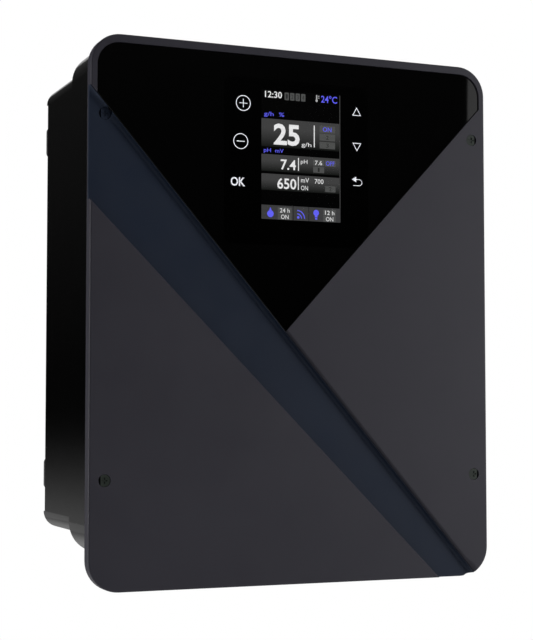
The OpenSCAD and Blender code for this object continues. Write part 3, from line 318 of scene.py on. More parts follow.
in_gloss = add_node(tree, "ShaderNodeMapRange", {"From Min": 0, "From Max": 1, "To Min": 1.0,
                                                 "To Max": FLOOR_IN_GLOSS},
                    {"Value": ray.outputs["Is Glossy Ray"]})
white = add_node(tree, "ShaderNodeEmission", {}, {"Strength": in_gloss.outputs[0]})
blend_in = add_node(tree, "ShaderNodeMixShader", {}, {
    0: add_maths(tree, "MULTIPLY", fade.outputs[0], shown), 1: matt.outputs[0],
    2: white.outputs[0]})
# from below the sheet is clear, so that the underside of the box can be looked at
from_below = add_node(tree, "ShaderNodeNewGeometry").outputs["Backfacing"]
clear = add_node(tree, "ShaderNodeBsdfTransparent")
sheet = add_node(tree, "ShaderNodeMixShader", {}, {0: from_below, 1: blend_in.outputs[0],
                                                   2: clear.outputs[0]})
add_node(tree, "ShaderNodeOutputMaterial", {}, {"Surface": sheet.outputs[0]})
floor.data.materials.append(paper)
floor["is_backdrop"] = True
print("floor at", round(floor_height, 3), "m")

# %% The camera
CAMERA_PLACE = Vector((-0.3495, -0.895, -0.0610))
CAMERA_TURN = math.radians(22.68)
CAMERA_TILT = math.radians(3.33)
CAMERA_LENS = 86.68

look = Vector((math.sin(CAMERA_TURN) * math.cos(CAMERA_TILT),
               math.cos(CAMERA_TURN) * math.cos(CAMERA_TILT), math.sin(CAMERA_TILT)))
eye = bpy.data.cameras.new("bench_camera")
eye.lens = CAMERA_LENS
eye.clip_start = 0.01
camera = bpy.data.objects.new("bench_camera", eye)
bpy.context.scene.collection.objects.link(camera)
camera.location = CAMERA_PLACE
camera.rotation_euler = look.to_track_quat("-Z", "Y").to_euler()
bpy.context.scene.camera = camera
bpy.context.scene.view_settings.view_transform = "Standard"
print("camera", [round(v, 3) for v in CAMERA_PLACE], "lens", CAMERA_LENS, "mm")

# %% [markdown]
# ## Finishes
#
# Each finish starts from what the real material is and how its surface was made. A material
# reads Object coordinates, which are metres on these pieces because every piece lies at the
# origin, so a pattern of so many millimetres is a scale of one over that length.
#
# Colours are written as the sRGB hex codes that a colour card gives, and one function turns them
# into the linear values that a shader works with.

# %% Colour and a fresh shader
def srgb(code):
    """A hex code as linear red, green, blue and alpha."""
    channels = [int(code[i:i + 2], 16) / 255 for i in (1, 3, 5)]
    return [c / 12.92 if c <= 0.04045 else ((c + 0.055) / 1.055) ** 2.4 for c in channels] + [1]


def new_finish(name, **settings):
    """A material with one Principled shader. Returns material, tree, shader, place."""
    finish = bpy.data.materials.new(name)
    finish.use_nodes = True
    tree = finish.node_tree
    tree.nodes.clear()
    values = {key.replace("_", " "): value for key, value in settings.items()}
    shader = add_node(tree, "ShaderNodeBsdfPrincipled", values)
    add_node(tree, "ShaderNodeOutputMaterial", {}, {"Surface": shader.outputs[0]})
    place = add_node(tree, "ShaderNodeTexCoord").outputs["Object"]
    return finish, tree, shader, place


def add_noise(tree, place, size, detail=2.0, roughness=0.5):
    """Noise whose lumps are size metres wide, from 0 to 1."""
    node = add_node(tree, "ShaderNodeTexNoise",
                    {"Scale": 1 / size, "Detail": detail, "Roughness": roughness},
                    {"Vector": place})
    return node.outputs["Fac"]


def add_bump(tree, shader, height, depth, strength=1.0):
    """Turns a height from 0 to 1 into a surface relief that is depth metres deep."""
    bump = add_node(tree, "ShaderNodeBump", {"Distance": depth, "Strength": strength},
                    {"Height": height})
    tree.links.new(bump.outputs[0], shader.inputs["Normal"])


def add_mix(tree, factor, first, second):
    """A colour between two colours or sources."""
    node = add_node(tree, "ShaderNodeMix", {"data_type": "RGBA"})
    for place, value in ((0, factor), (6, first), (7, second)):
        if isinstance(value, (int, float, list, tuple)):
            node.inputs[place].default_value = value
        else:
            tree.links.new(value, node.inputs[place])
    return node.outputs[2]


def add_range(tree, value, low, high, new_low, new_high):
    """Maps a value from one range to another, clamped."""
    node = add_node(tree, "ShaderNodeMapRange",
                    {"From Min": low, "From Max": high, "To Min": new_low, "To Max": new_high},
                    {"Value": value})
    return node.outputs[0]


def two_tone(tree, shader, factor, dark, light):
    """Lets a factor shade the surface from one hex colour to another."""
    tree.links.new(add_mix(tree, factor, srgb(dark), srgb(light)), shader.inputs["Base Color"])


def vary_gloss(tree, shader, value, low, high, new_low, new_high):
    """Lets a value from low to high set the roughness from new_low to new_high."""
    tree.links.new(add_range(tree, value, low, high, new_low, new_high),
                   shader.inputs["Roughness"])


# %% [markdown]
# ### Moulded plastics
#
# Nearly every shell here is injection-moulded. The mould decides the surface: a spark-eroded
# mould leaves an even grain that scatters the light into a satin, a polished one leaves gloss
# with a faint unevenness where the plastic shrank. Both get the same recipe: a slow shade of
# colour from the way the melt flowed, a roughness that varies a little, and the mould's grain as
# a relief. The real grain of about 0.2 mm is finer than a render shows, so it is drawn coarser.

# %% Moulded plastic
GLOSS_SPREAD = 0.06


def moulded(name, dark, light, roughness, grain=0.5 * MM, depth=0.006 * MM, flow=60 * MM,
            ior=1.53, sheen=0.5):
    """Plastic from a grained mould: dark and light are the two ends of its slow shade."""
    finish, tree, shader, place = new_finish(name, IOR=ior, Specular_IOR_Level=sheen)
    shade = add_range(tree, add_noise(tree, place, flow, 2.0), 0.35, 0.65, 0.0, 1.0)
    two_tone(tree, shader, shade, dark, light)
    worn = add_noise(tree, place, 18 * MM, 4.0, 0.6)
    vary_gloss(tree, shader, worn, 0.3, 0.7, roughness - GLOSS_SPREAD, roughness + GLOSS_SPREAD)
    add_bump(tree, shader, add_noise(tree, place, grain, 3.0, 0.6), depth)
    return finish


def polished(name, dark, light, roughness, ripple=14 * MM, depth=0.02 * MM, ior=1.53,
             dust=0.05):
    """Plastic from a polished mould: gloss over a faint slow ripple, dulled a little by dust."""
    finish, tree, shader, place = new_finish(name, IOR=ior)
    shade = add_noise(tree, place, 80 * MM, 2.0)
    two_tone(tree, shader, shade, dark, light)
    vary_gloss(tree, shader, add_noise(tree, place, 3 * MM, 5.0, 0.7), 0.45, 0.75,
               roughness, roughness + dust)
    add_bump(tree, shader, add_noise(tree, place, ripple, 1.0), depth)
    return finish


# anthracite ABS from a spark-eroded mould: a grey with a trace of violet and a satin sheen
cover_abs = moulded("anthracite_abs_spark_eroded", "#27262d", "#29282f", 0.50, sheen=0.15)
# navy ABS from a finer mould: the same satin, a little smoother
band_abs = moulded("navy_abs_fine_grain", "#121a28", "#141c2a", 0.48, grain=0.4 * MM, sheen=0.12)
# black polycarbonate blend from a polished mould: deep gloss on the housing
housing_pc = polished("black_polycarbonate_polished", "#020202", "#040404", 0.11)
# black glass-filled polyamide: duller, with a coarse grain from the fibres
spacer_nylon = moulded("black_glass_filled_nylon", "#121212", "#191919", 0.55, grain=0.8 * MM,
                       depth=0.02 * MM)
# polyamide 6 of cable glands: nearly black and slightly waxy
gland_nylon = moulded("black_nylon_waxy", "#17181a", "#1e1f22", 0.38, flow=20 * MM)
# flame-retardant polyester of terminal blocks
terminal_green = moulded("green_polyester_terminal", "#1d6b35", "#237a3e", 0.42, flow=12 * MM)
terminal_black = moulded("black_polyester_terminal", "#161616", "#1d1d1d", 0.45, flow=12 * MM)
relay_case = moulded("blue_polyester_relay_case", "#123f86", "#174a99", 0.32, flow=14 * MM,
                     depth=0.003 * MM)
switch_case = moulded("black_nylon_switch_case", "#101010", "#161616", 0.40, flow=14 * MM)
rocker_red = polished("red_polycarbonate_rocker", "#a5150f", "#b41a12", 0.16, ripple=6 * MM)
screw_cap = moulded("grey_green_polymer_coat", "#1c221e", "#222823", 0.45, flow=8 * MM,
                    sheen=0.15)
guard_pc = moulded("black_polycarbonate_sheet", "#0e0e10", "#141417", 0.36, depth=0.003 * MM)
ptfe = moulded("white_ptfe_turned", "#e2e0da", "#efede8", 0.45, flow=10 * MM, ior=1.35)
print("moulded plastics ready")

# %% [markdown]
# ### Soft pieces
#
# The gasket, the washers and the gland seals are rubber: dark, dull, with a bloom of chalk from
# the mould release. Foam tape and key pads are soft and matt, full of fine cells.

# %% Rubber and foam
def rubber(name, dark, light):
    """Moulded rubber with a faint bloom and no gloss."""
    finish, tree, shader, place = new_finish(name, IOR=1.52)
    bloom = add_range(tree, add_noise(tree, place, 9 * MM, 4.0, 0.65), 0.42, 0.72, 0.0, 1.0)
    two_tone(tree, shader, bloom, dark, light)
    vary_gloss(tree, shader, bloom, 0, 1, 0.62, 0.82)
    add_bump(tree, shader, add_noise(tree, place, 0.6 * MM, 3.0), 0.01 * MM)
    return finish


def foam(name, dark, light, cell=0.7 * MM):
    """Closed-cell foam: round cells whose raised rims are painted lighter, a painted highlight."""
    finish, tree, shader, place = new_finish(name, IOR=1.45, Roughness=0.9)
    cells = add_node(tree, "ShaderNodeTexVoronoi", {"Scale": 1 / cell}, {"Vector": place})
    rim = cells.outputs["Distance"]
    # painted highlight: the colour gets lighter towards each cell's rim, as if the rims caught the
    # light
    two_tone(tree, shader, rim, dark, light)
    add_bump(tree, shader, rim, 0.12 * MM, 0.8)
    return finish


gasket_rubber = rubber("black_epdm_rubber", "#0c0c0c", "#1c1b1a")
tape_foam = foam("black_acrylic_foam_tape", "#0b0b0b", "#1a1a1a")
pad_foam = foam("grey_conductive_foam", "#3a3b3d", "#5b5d60", 0.9 * MM)
print("rubber and foam ready")

# %% [markdown]
# ### Metals
#
# A metal is all reflection: its colour is the tint of what it mirrors, and its surface shows how
# it was worked. Rolled sheet has fine lines in one direction and an extrusion has them along its
# length. All the others, turned or plated, get a fine unevenness and a cloudy shade.

# %% Metals
def metal(name, dark, light, roughness, cloud=6 * MM, lines=None, depth=0.004 * MM):
    """A metal with a cloudy shade, and with worked lines that are stretched along one axis."""
    finish, tree, shader, place = new_finish(name, Metallic=1.0)
    shade = add_range(tree, add_noise(tree, place, cloud, 3.0, 0.6), 0.35, 0.65, 0.0, 1.0)
    two_tone(tree, shader, shade, dark, light)
    if lines:
        stretched = add_node(tree, "ShaderNodeMapping", {"Scale": lines}, {"Vector": place})
        worked = add_noise(tree, stretched.outputs[0], 0.5 * MM, 2.0)
    else:
        worked = add_noise(tree, place, 0.8 * MM, 3.0)
    vary_gloss(tree, shader, worked, 0.3, 0.7, roughness - 0.07, roughness + 0.09)
    add_bump(tree, shader, worked, depth)
    return finish


# sheet that was rolled across X: the lines run along X
sheet_aluminium = metal("rolled_aluminium_sheet", "#b9bbbd", "#cfd1d2", 0.38, 25 * MM, (0.05, 1, 1))
# an extrusion's die lines run up the fins, along Z
sink_aluminium = metal("extruded_aluminium", "#a9abad", "#bfc1c3", 0.42, 20 * MM, (1, 1, 0.04))
insert_brass = metal("turned_brass", "#b08a45", "#cba35a", 0.28)
zinc_steel = metal("zinc_plated_steel", "#a8acae", "#c6c9c6", 0.32, 2 * MM)
tinned_steel = metal("tinned_spring_steel", "#b5b6b5", "#cdcecb", 0.30, 4 * MM)
nickel_brass = metal("nickel_plated_brass", "#b8b2a6", "#cfc9bd", 0.20, 8 * MM)
gilt = metal("gold_flashed_contact", "#c99a3c", "#e0b355", 0.22, 3 * MM)
module_steel = metal("stamped_nickel_silver", "#8e9092", "#a6a8aa", 0.36, 15 * MM, (0.05, 1, 1))
copper_wire = metal("enamelled_copper_wire", "#8e3f1c", "#b0562a", 0.26, 3 * MM, None, 0.01 * MM)
print("metals ready")

# %% [markdown]
# ### Circuit boards
#
# A board is glass cloth in resin under a solder mask. The mask is a glossy lacquer, green here
# and yellow-brown on the supply's board, and the copper tracks under it show lighter and
# slightly raised. The tracks are drawn as short straight runs on a grid: a number for each cell
# of the grid decides whether the run is there, and a slow noise decides whether a field has its
# runs along X or along Z.

# %% Solder mask over tracks
def board_mask(name, bare, tracked, pitch=1.27 * MM, run=11 * MM):
    """Solder mask with copper runs of one pitch under it, for a board that lies across Y."""
    finish, tree, shader, place = new_finish(name, IOR=1.55)
    split = add_node(tree, "ShaderNodeSeparateXYZ", {}, {"Vector": place})
    flat = (split.outputs[0], split.outputs[2])

    def runs(across, along):
        lane = add_maths(tree, "MULTIPLY", across, 1 / pitch)
        middle = add_maths(tree, "ABSOLUTE", add_maths(
            tree, "SUBTRACT", add_maths(tree, "FRACT", add_maths(tree, "ADD", lane, 1000)), 0.5))
        copper = add_maths(tree, "LESS_THAN", middle, 0.17)
        cell = add_node(tree, "ShaderNodeCombineXYZ", {}, {
            "X": add_maths(tree, "FLOOR", lane),
            "Y": add_maths(tree, "FLOOR", add_maths(tree, "MULTIPLY", along, 1 / run))})
        luck = add_node(tree, "ShaderNodeTexWhiteNoise", {}, {"Vector": cell.outputs[0]})
        return add_maths(tree, "MULTIPLY", copper,
                         add_maths(tree, "GREATER_THAN", luck.outputs["Value"], 0.45))

    field = add_maths(tree, "GREATER_THAN", add_noise(tree, place, 22 * MM, 1.0), 0.5)
    along_x = add_maths(tree, "MULTIPLY", runs(flat[1], flat[0]), field)
    along_z = add_maths(tree, "MULTIPLY", runs(flat[0], flat[1]),
                        add_maths(tree, "SUBTRACT", 1.0, field))
    copper = add_maths(tree, "MAXIMUM", along_x, along_z)
    two_tone(tree, shader, copper, bare, tracked)
    weave = add_noise(tree, place, 0.8 * MM, 1.0)
    vary_gloss(tree, shader, weave, 0.3, 0.7, 0.24, 0.36)
    add_bump(tree, shader, copper, 0.035 * MM)
    return finish


green_mask = board_mask("green_solder_mask", "#0f4a2c", "#1f6e42")
brown_mask = board_mask("yellow_brown_laminate", "#8a7340", "#a08a55", 2.54 * MM, 16 * MM)
print("boards ready")

# %% [markdown]
# ### Small components
#
# Chips are black epoxy with a matt, sandy surface. A capacitor's sleeve is glossy shrunk PVC
# with a fine wrinkle. The transformer is wrapped in yellow polyester tape that shows the edges
# of its turns.

# %% Component finishes
black_epoxy = moulded("black_moulding_epoxy", "#151516", "#1b1b1c", 0.58, grain=0.4 * MM,
                      depth=0.01 * MM, flow=6 * MM)


WRINKLE = 4 * MM
TAPE_WIDTH = 9 * MM


def shrunk_sleeve(name, dark, light):
    """Glossy sleeve film with a fine shrink wrinkle round the can."""
    finish, tree, shader, place = new_finish(name, IOR=1.54, Coat_Weight=0.2)
    wrinkle = add_noise(tree, place, WRINKLE, 3.0)
    two_tone(tree, shader, wrinkle, dark, light)
    vary_gloss(tree, shader, wrinkle, 0.3, 0.7, 0.22, 0.34)
    add_bump(tree, shader, wrinkle, 0.03 * MM)
    return finish


def wound_tape(name, tape, edge):
    """Polyester tape in turns of one width: each turn's edge is a darker, raised line."""
    finish, tree, shader, place = new_finish(name, IOR=1.6, Coat_Weight=0.3)
    split = add_node(tree, "ShaderNodeSeparateXYZ", {}, {"Vector": place})
    turn = add_maths(tree, "FRACT", add_maths(tree, "MULTIPLY_ADD", split.outputs[2],
                                              1 / TAPE_WIDTH, 100.0))
    line = add_maths(tree, "LESS_THAN", turn, 0.07)
    two_tone(tree, shader, line, tape, edge)
    vary_gloss(tree, shader, add_noise(tree, place, 5 * MM), 0.3, 0.7, 0.2, 0.35)
    add_bump(tree, shader, turn, 0.05 * MM)
    return finish


capacitor_sleeve = shrunk_sleeve("black_pvc_sleeve", "#141a24", "#1b2230")
transformer_tape = wound_tape("yellow_polyester_tape", "#c79a1e", "#8f6b10")


def clear_glass(name, tint, roughness, ior=1.5):
    """Clear glass or acrylic with a trace of tint and a wiped surface."""
    finish, tree, shader, place = new_finish(name, IOR=ior, Transmission_Weight=1.0)
    smear = add_noise(tree, place, 12 * MM, 4.0, 0.65)
    two_tone(tree, shader, smear, "#ffffff", tint)
    vary_gloss(tree, shader, smear, 0.3, 0.8, roughness, roughness + 0.02)
    return finish


fuse_glass = clear_glass("drawn_glass_tube", "#eef4f2", 0.02)
screen_glass = polished("polarised_display_glass", "#020203", "#040406", 0.08, ripple=30 * MM,
                        depth=0.001 * MM, ior=1.5)
print("components ready")

# %% [markdown]
# ## Dressing the construction pieces
#
# Every piece whose shape is right keeps it and gets its finish in its own material slot. The
# list goes by finish, so that pieces of one material stand together.

# %% Which piece gets which finish
PIECE_FINISH = {
    cover_abs: ["front_cover"],
    band_abs: ["navy_band"],
    tape_foam: ["lens_tape"],
    module_steel: ["display_module"],
    green_mask: ["main_board", "display_board"],
    pad_foam: ["touch_pads"],
    guard_pc: ["display_guard"],
    screw_cap: ["cover_screws"],
    ptfe: ["screw_retainers", "socket_insulators"],
    housing_pc: ["rear_housing"],
    spacer_nylon: ["wall_spacers"],
    gasket_rubber: ["rim_gasket", "gland_washers", "gland_seals"],
    insert_brass: ["threaded_inserts"],
    sheet_aluminium: ["psu_tray", "psu_cover"],
    brown_mask: ["psu_board"],
    transformer_tape: ["psu_transformer"],
    terminal_black: ["psu_terminals", "mains_terminals", "ribbon_header", "display_header"],
    sink_aluminium: ["heat_sink"],
    black_epoxy: ["power_transistors", "controller_chip"],
    terminal_green: ["relay_terminals", "sensor_terminals"],
    relay_case: ["relays"],
    tinned_steel: ["fuse_holder", "clock_cell", "switch_tabs"],
    fuse_glass: ["glass_fuse"],
    screen_glass: ["display_glass"],
    capacitor_sleeve: ["capacitors"],
    copper_wire: ["output_choke"],
    zinc_steel: ["board_screws", "display_screws"],
    gland_nylon: ["gland_bodies", "gland_lock_nuts", "gland_dome_nuts"],
    nickel_brass: ["probe_sockets", "socket_nuts"],
    gilt: ["socket_contacts"],
    switch_case: ["switch_body"],
    rocker_red: ["switch_rocker"],
}
for finish, names in PIECE_FINISH.items():
    for name in names:
        coat(nodes[name], finish)
undressed = set(nodes) - {name for names in PIECE_FINISH.values() for name in names}
print("still to be replaced by hand-made pieces:", sorted(undressed))

# %% [markdown]
# ## The lens
#
# The glossy black panel is a 2 mm sheet of clear acrylic that is printed black on its back. The
# print leaves a field free in front of the display and its keys. Here the printed part and the
# clear part are two pieces with one outer gloss: the printed part is a copy of the construction's
# lens with the field cut out of it by a Boolean, and the clear part fills that field flush.
#
# Cut acrylic has its front edges broken by a small radius. It is a bevel on the edges between
# the front face and the sides, made before the field is cut so that the field stays sharp. The
# weighted normals then keep the large front face a true mirror up to its bevel.

# %% Making a finished piece
def finish_piece(piece, name, finish, body="cover", smooth=None):
    """Names a piece, evens its normals, gives it its finish and lets it ride on a body."""
    take(piece)
    piece.name = name
    piece.data.name = name
    fix_place()
    if smooth is not None:
        bpy.ops.object.shade_smooth_by_angle(angle=math.radians(smooth))
        even = piece.modifiers.new("even", "WEIGHTED_NORMAL")
        even.keep_sharp = True
        bpy.ops.object.modifier_apply(modifier=even.name)
    if finish:
        coat(piece, finish)
    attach(piece, body)
    return piece


def plain_block(low, high):
    """A block from corner to corner."""
    start_clean()
    middle = [(a + b) / 2 for a, b in zip(low, high)]
    size = [b - a for a, b in zip(low, high)]
    bpy.ops.mesh.primitive_cube_add(size=1, location=middle, scale=size)
    fix_place()
    return bpy.context.object


def rounded_block(name, low, high, radius, segments=8):
    """A block from corner to corner whose four edges along Y are rounded."""
    block = plain_block(low, high)
    block.name = name
    pick_edges(block, lambda a, b: abs(a.x - b.x) < 1e-7 and abs(a.z - b.z) < 1e-7)
    bpy.ops.mesh.bevel(offset=radius, segments=segments, affect="EDGES")
    close_mesh()
    return block


def merged_copy(name):
    """A copy of a construction piece whose loose triangles are joined into flat faces."""
    start_clean()
    copy = nodes[name].copy()
    copy.data = nodes[name].data.copy()
    copy.parent = None
    bpy.context.scene.collection.objects.link(copy)
    for key in list(copy.keys()):
        del copy[key]
    open_mesh(copy, "VERT", whole=True)
    bpy.ops.mesh.customdata_custom_splitnormals_clear()
    bpy.ops.mesh.remove_doubles(threshold=0.001 * MM)
    bpy.ops.mesh.dissolve_limited(angle_limit=math.radians(0.5))
    close_mesh()
    return copy


def cut(piece, tool):
    """Cuts the tool out of the piece and deletes the tool."""
    take(piece)
    change = piece.modifiers.new("cut", "BOOLEAN")
    change.operation = "DIFFERENCE"
    change.solver = "EXACT"
    change.object = tool
    bpy.ops.object.modifier_apply(modifier=change.name)
    bpy.data.objects.remove(tool)


def join(pieces):
    """Joins pieces into the first one."""
    start_clean()
    for piece in pieces:
        piece.select_set(True)
    bpy.context.view_layer.objects.active = pieces[0]
    bpy.ops.object.join()
    return bpy.context.object


# %% The printed part and the clear field
FIELD_LOW = Vector((-44.5 * MM, 0, 31.0 * MM))
FIELD_HIGH = Vector((44.5 * MM, 0, 124.5 * MM))
FIELD_CORNER = 4 * MM
FIELD_GAP = 0.01 * MM
LENS_EDGE = 0.2 * MM
PRINT_THICKNESS = 0.10 * MM

lens_acrylic = polished("black_printed_acrylic", "#010101", "#020202", 0.015, ripple=25 * MM,
                        depth=0.001 * MM, ior=1.49, dust=0.006)
clear_acrylic = clear_glass("clear_cast_acrylic", "#fdfdfe", 0.015, ior=1.49)

lens_panel = merged_copy("display_lens")
pick_edges(lens_panel, lambda a, b: abs(a.y - lens_front) < 1e-6 and abs(b.y - lens_front) < 1e-6)
bpy.ops.mesh.bevel(offset=LENS_EDGE, segments=3, affect="EDGES")
close_mesh()
cut(lens_panel, rounded_block("opening", (FIELD_LOW.x, lens_front - MM, FIELD_LOW.z),
                              (FIELD_HIGH.x, lens_back + MM, FIELD_HIGH.z), FIELD_CORNER))
finish_piece(lens_panel, "lens_panel", lens_acrylic, smooth=30)

lens_window = rounded_block(
    "lens_window", (FIELD_LOW.x + FIELD_GAP, lens_front, FIELD_LOW.z + FIELD_GAP),
    (FIELD_HIGH.x - FIELD_GAP, lens_back - PRINT_THICKNESS, FIELD_HIGH.z - FIELD_GAP),
    FIELD_CORNER - FIELD_GAP)
finish_piece(lens_window, "lens_window", clear_acrylic, smooth=30)
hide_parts("display_lens")
print("lens:", len(lens_panel.data.polygons), "faces, clear field",
      [round(v / MM, 1) for v in (FIELD_HIGH - FIELD_LOW).xz], "mm")

# %% [markdown]
# ### The print behind the clear field
#
# Behind the clear field lies the printed film: black, with an opening for the screen. Its middle
# part, the mask round the display, was printed in a second pass and is a trace less deep than
# the rest. Both are thin plates with a hole, cut from a rounded block.

# %% The printed film
SCREEN_MARGIN = 0.8 * MM
MASK_LOW = Vector((-37.2 * MM, 0, 34.0 * MM))
MASK_HIGH = Vector((37.4 * MM, 0, 121.5 * MM))
MASK_CORNER = 3.5 * MM

screen_left = glass_low.x + SCREEN_MARGIN
screen_top = glass_high.z - SCREEN_MARGIN
screen_w = glass_high.x - glass_low.x - 2 * SCREEN_MARGIN
screen_h = glass_high.z - glass_low.z - 2 * SCREEN_MARGIN

deep_ink = moulded("deep_black_screen_print", "#000000", "#010101", 0.6, depth=0.002 * MM,
                   sheen=0.0)
mask_ink = moulded("black_mask_screen_print", "#040404", "#060606", 0.6, depth=0.002 * MM,
                   sheen=0.05)


def plate_with_hole(name, low, high, corner, hole_low, hole_high, hole_corner):
    """A thin plate across Y with a rounded hole right through it."""
    plate = rounded_block(name, low, high, corner)
    cut(plate, rounded_block("hole", (hole_low.x, low[1] - MM, hole_low.z),
                             (hole_high.x, high[1] + MM, hole_high.z), hole_corner))
    return plate


film_front = lens_back - PRINT_THICKNESS
lens_print = plate_with_hole(
    "lens_print", (FIELD_LOW.x, film_front, FIELD_LOW.z), (FIELD_HIGH.x, lens_back, FIELD_HIGH.z),
    FIELD_CORNER, MASK_LOW, MASK_HIGH, MASK_CORNER)
finish_piece(lens_print, "lens_print", deep_ink)

screen_low = Vector((screen_left, 0, screen_top - screen_h))
screen_high = Vector((screen_left + screen_w, 0, screen_top))
screen_mask = plate_with_hole(
    "screen_mask", (MASK_LOW.x, film_front, MASK_LOW.z), (MASK_HIGH.x, lens_back, MASK_HIGH.z),
    MASK_CORNER, screen_low, screen_high, 0.2 * MM)
finish_piece(screen_mask, "screen_mask", mask_ink)
print("screen", round(screen_w / MM, 2), "x", round(screen_h / MM, 2), "mm")

# %% [markdown]
# ### The signs on the keys
#
# The keys have no moving part: a finger on the lens is felt by the foam pads behind it. Their
# signs are white ink on the back of the lens, lit from behind. Rings and triangles are a flat
# circle of many or of three sides, inset by the width of the stroke, with the middle taken out.
# The return arrow is a short stroke that is spun round half a turn and run on at both ends.

# %% Ink strokes
INK = 0.02 * MM
STROKE = 0.45 * MM
ink_back = film_front - 0.01 * MM


def stand_up(piece, turn=0.0):
    """Stands a flat piece up so that it faces the front, turned by so much round Y."""
    take(piece)
    piece.rotation_euler = (math.pi / 2, turn, 0)
    fix_place()


def thicken(piece):
    """Gives a flat upright piece the thickness of the ink, towards the front."""
    open_mesh(piece, "FACE", whole=True)
    bpy.ops.mesh.extrude_region_move(TRANSFORM_OT_translate={"value": (0, -INK, 0)})
    bpy.ops.mesh.select_all(action="SELECT")
    bpy.ops.mesh.normals_make_consistent(inside=False)
    close_mesh()
    return piece


def ring_sign(x, z, radius, sides, turn=0.0, hollow=True):
    """A ring or a triangle of one stroke, or a filled one."""
    start_clean()
    bpy.ops.mesh.primitive_circle_add(vertices=sides, radius=radius, fill_type="NGON",
                                      location=(x, ink_back, z))
    sign = bpy.context.object
    if hollow:
        open_mesh(sign, "FACE", whole=True)
        bpy.ops.mesh.inset(thickness=STROKE)
        bpy.ops.mesh.delete(type="FACE")
        close_mesh()
    stand_up(sign, turn)
    return thicken(sign)


def bar_sign(x, z, width, height):
    """A straight stroke of so much width along X and height along Z."""
    start_clean()
    bpy.ops.mesh.primitive_plane_add(size=1, location=(x, ink_back, z))
    sign = bpy.context.object
    sign.scale = (width, height, 1)
    stand_up(sign)
    return thicken(sign)


def return_arrow(x, z, width, height):
    """A stroke that comes from the lower left, turns back and ends in an arrowhead."""
    radius = height * 0.33
    turn_x = x + width / 2 - radius
    head = height * 0.30
    middle_z = z - height / 2 + radius
    start_clean()
    bpy.ops.mesh.primitive_plane_add(
        size=1, location=(turn_x, ink_back - INK / 2, middle_z + radius))
    hook = bpy.context.object
    hook.scale = (INK, 0.8 * STROKE, 1)
    hook.rotation_euler = (math.pi / 2, 0, math.pi / 2)
    fix_place()
    open_mesh(hook, "FACE", whole=True)
    bpy.ops.mesh.spin(steps=14, angle=-math.pi, center=(turn_x, 0, middle_z), axis=(0, 1, 0))
    bpy.ops.mesh.extrude_region_move(
        TRANSFORM_OT_translate={"value": (x - width / 2 - turn_x + 0.4 * MM, 0, 0)})
    close_mesh()
    pick_faces(hook, lambda c, n: abs(n.x) > 0.9 and c.z > middle_z and abs(c.x - turn_x) < 1e-6)
    bpy.ops.mesh.extrude_region_move(
        TRANSFORM_OT_translate={"value": (x - width / 2 + head - turn_x, 0, 0)})
    bpy.ops.mesh.select_all(action="SELECT")
    bpy.ops.mesh.remove_doubles(threshold=0.001 * MM)
    bpy.ops.mesh.normals_make_consistent(inside=False)
    close_mesh()
    point = ring_sign(x - width / 2 + head * 0.9, middle_z + radius, head * 1.15, 3,
                      -math.pi / 2, False)
    return join([hook, point])


# %% [markdown]
# Words and numbers start as text objects of Blender's own plain font. They are turned into
# meshes first, then stretched to the box that the layout gives them and stood up.

# %% Numbers and short marks
def written(words, low_x, low_z, high_x, high_z, back, thickness, weight=0.0):
    """Text as a mesh that fills a box on the XZ plane, its back at one Y."""
    start_clean()
    bpy.ops.object.text_add()
    text = bpy.context.object
    text.data.body = words
    text.data.resolution_u = 3
    text.data.offset = weight
    text.data.extrude = 0.5
    bpy.ops.object.convert(target="MESH")
    text = bpy.context.object
    corners = [Vector(c) for c in text.bound_box]
    low = Vector([min(c[i] for c in corners) for i in range(3)])
    high = Vector([max(c[i] for c in corners) for i in range(3)])
    stretch = ((high_x - low_x) / (high.x - low.x), (high_z - low_z) / (high.y - low.y),
               thickness / (high.z - low.z))
    text.scale = stretch
    text.rotation_euler = (math.pi / 2, 0, 0)
    text.location = (low_x - low.x * stretch[0], back - thickness + high.z * stretch[2],
                     low_z - low.y * stretch[1])
    fix_place()
    open_mesh(text, "VERT", whole=True)
    bpy.ops.mesh.remove_doubles(threshold=0.002 * MM)
    close_mesh()
    return text


# %% The six key signs
KEY_RADIUS = 4.45 * MM
BAR_LENGTH = 4.9 * MM
OK_HALF_WIDTH, OK_HALF_HEIGHT = 4.3 * MM, 2.5 * MM
TRIANGLE_RADIUS, TRIANGLE_SHIFT = 3.3 * MM, 0.6 * MM
ARROW_WIDTH, ARROW_HEIGHT = 6.0 * MM, 5.4 * MM
key_left = [(-32.5 * MM, 110.2 * MM), (-34.0 * MM, 88.6 * MM), (-35.7 * MM, 65.8 * MM)]
key_right = [(37.9 * MM, 110.4 * MM), (38.0 * MM, 90.1 * MM), (38.1 * MM, 70.3 * MM)]

white_ink, tree, shader, place = new_finish(
    "white_ink_lit_from_behind", Emission_Strength=0.62, Emission_Color=srgb("#f4f6ff"), IOR=1.5)
fade_ink = add_noise(tree, place, 3 * MM, 2.0)
two_tone(tree, shader, fade_ink, "#dfe0e2", "#f0f0f2")
vary_gloss(tree, shader, fade_ink, 0.3, 0.7, 0.5, 0.65)

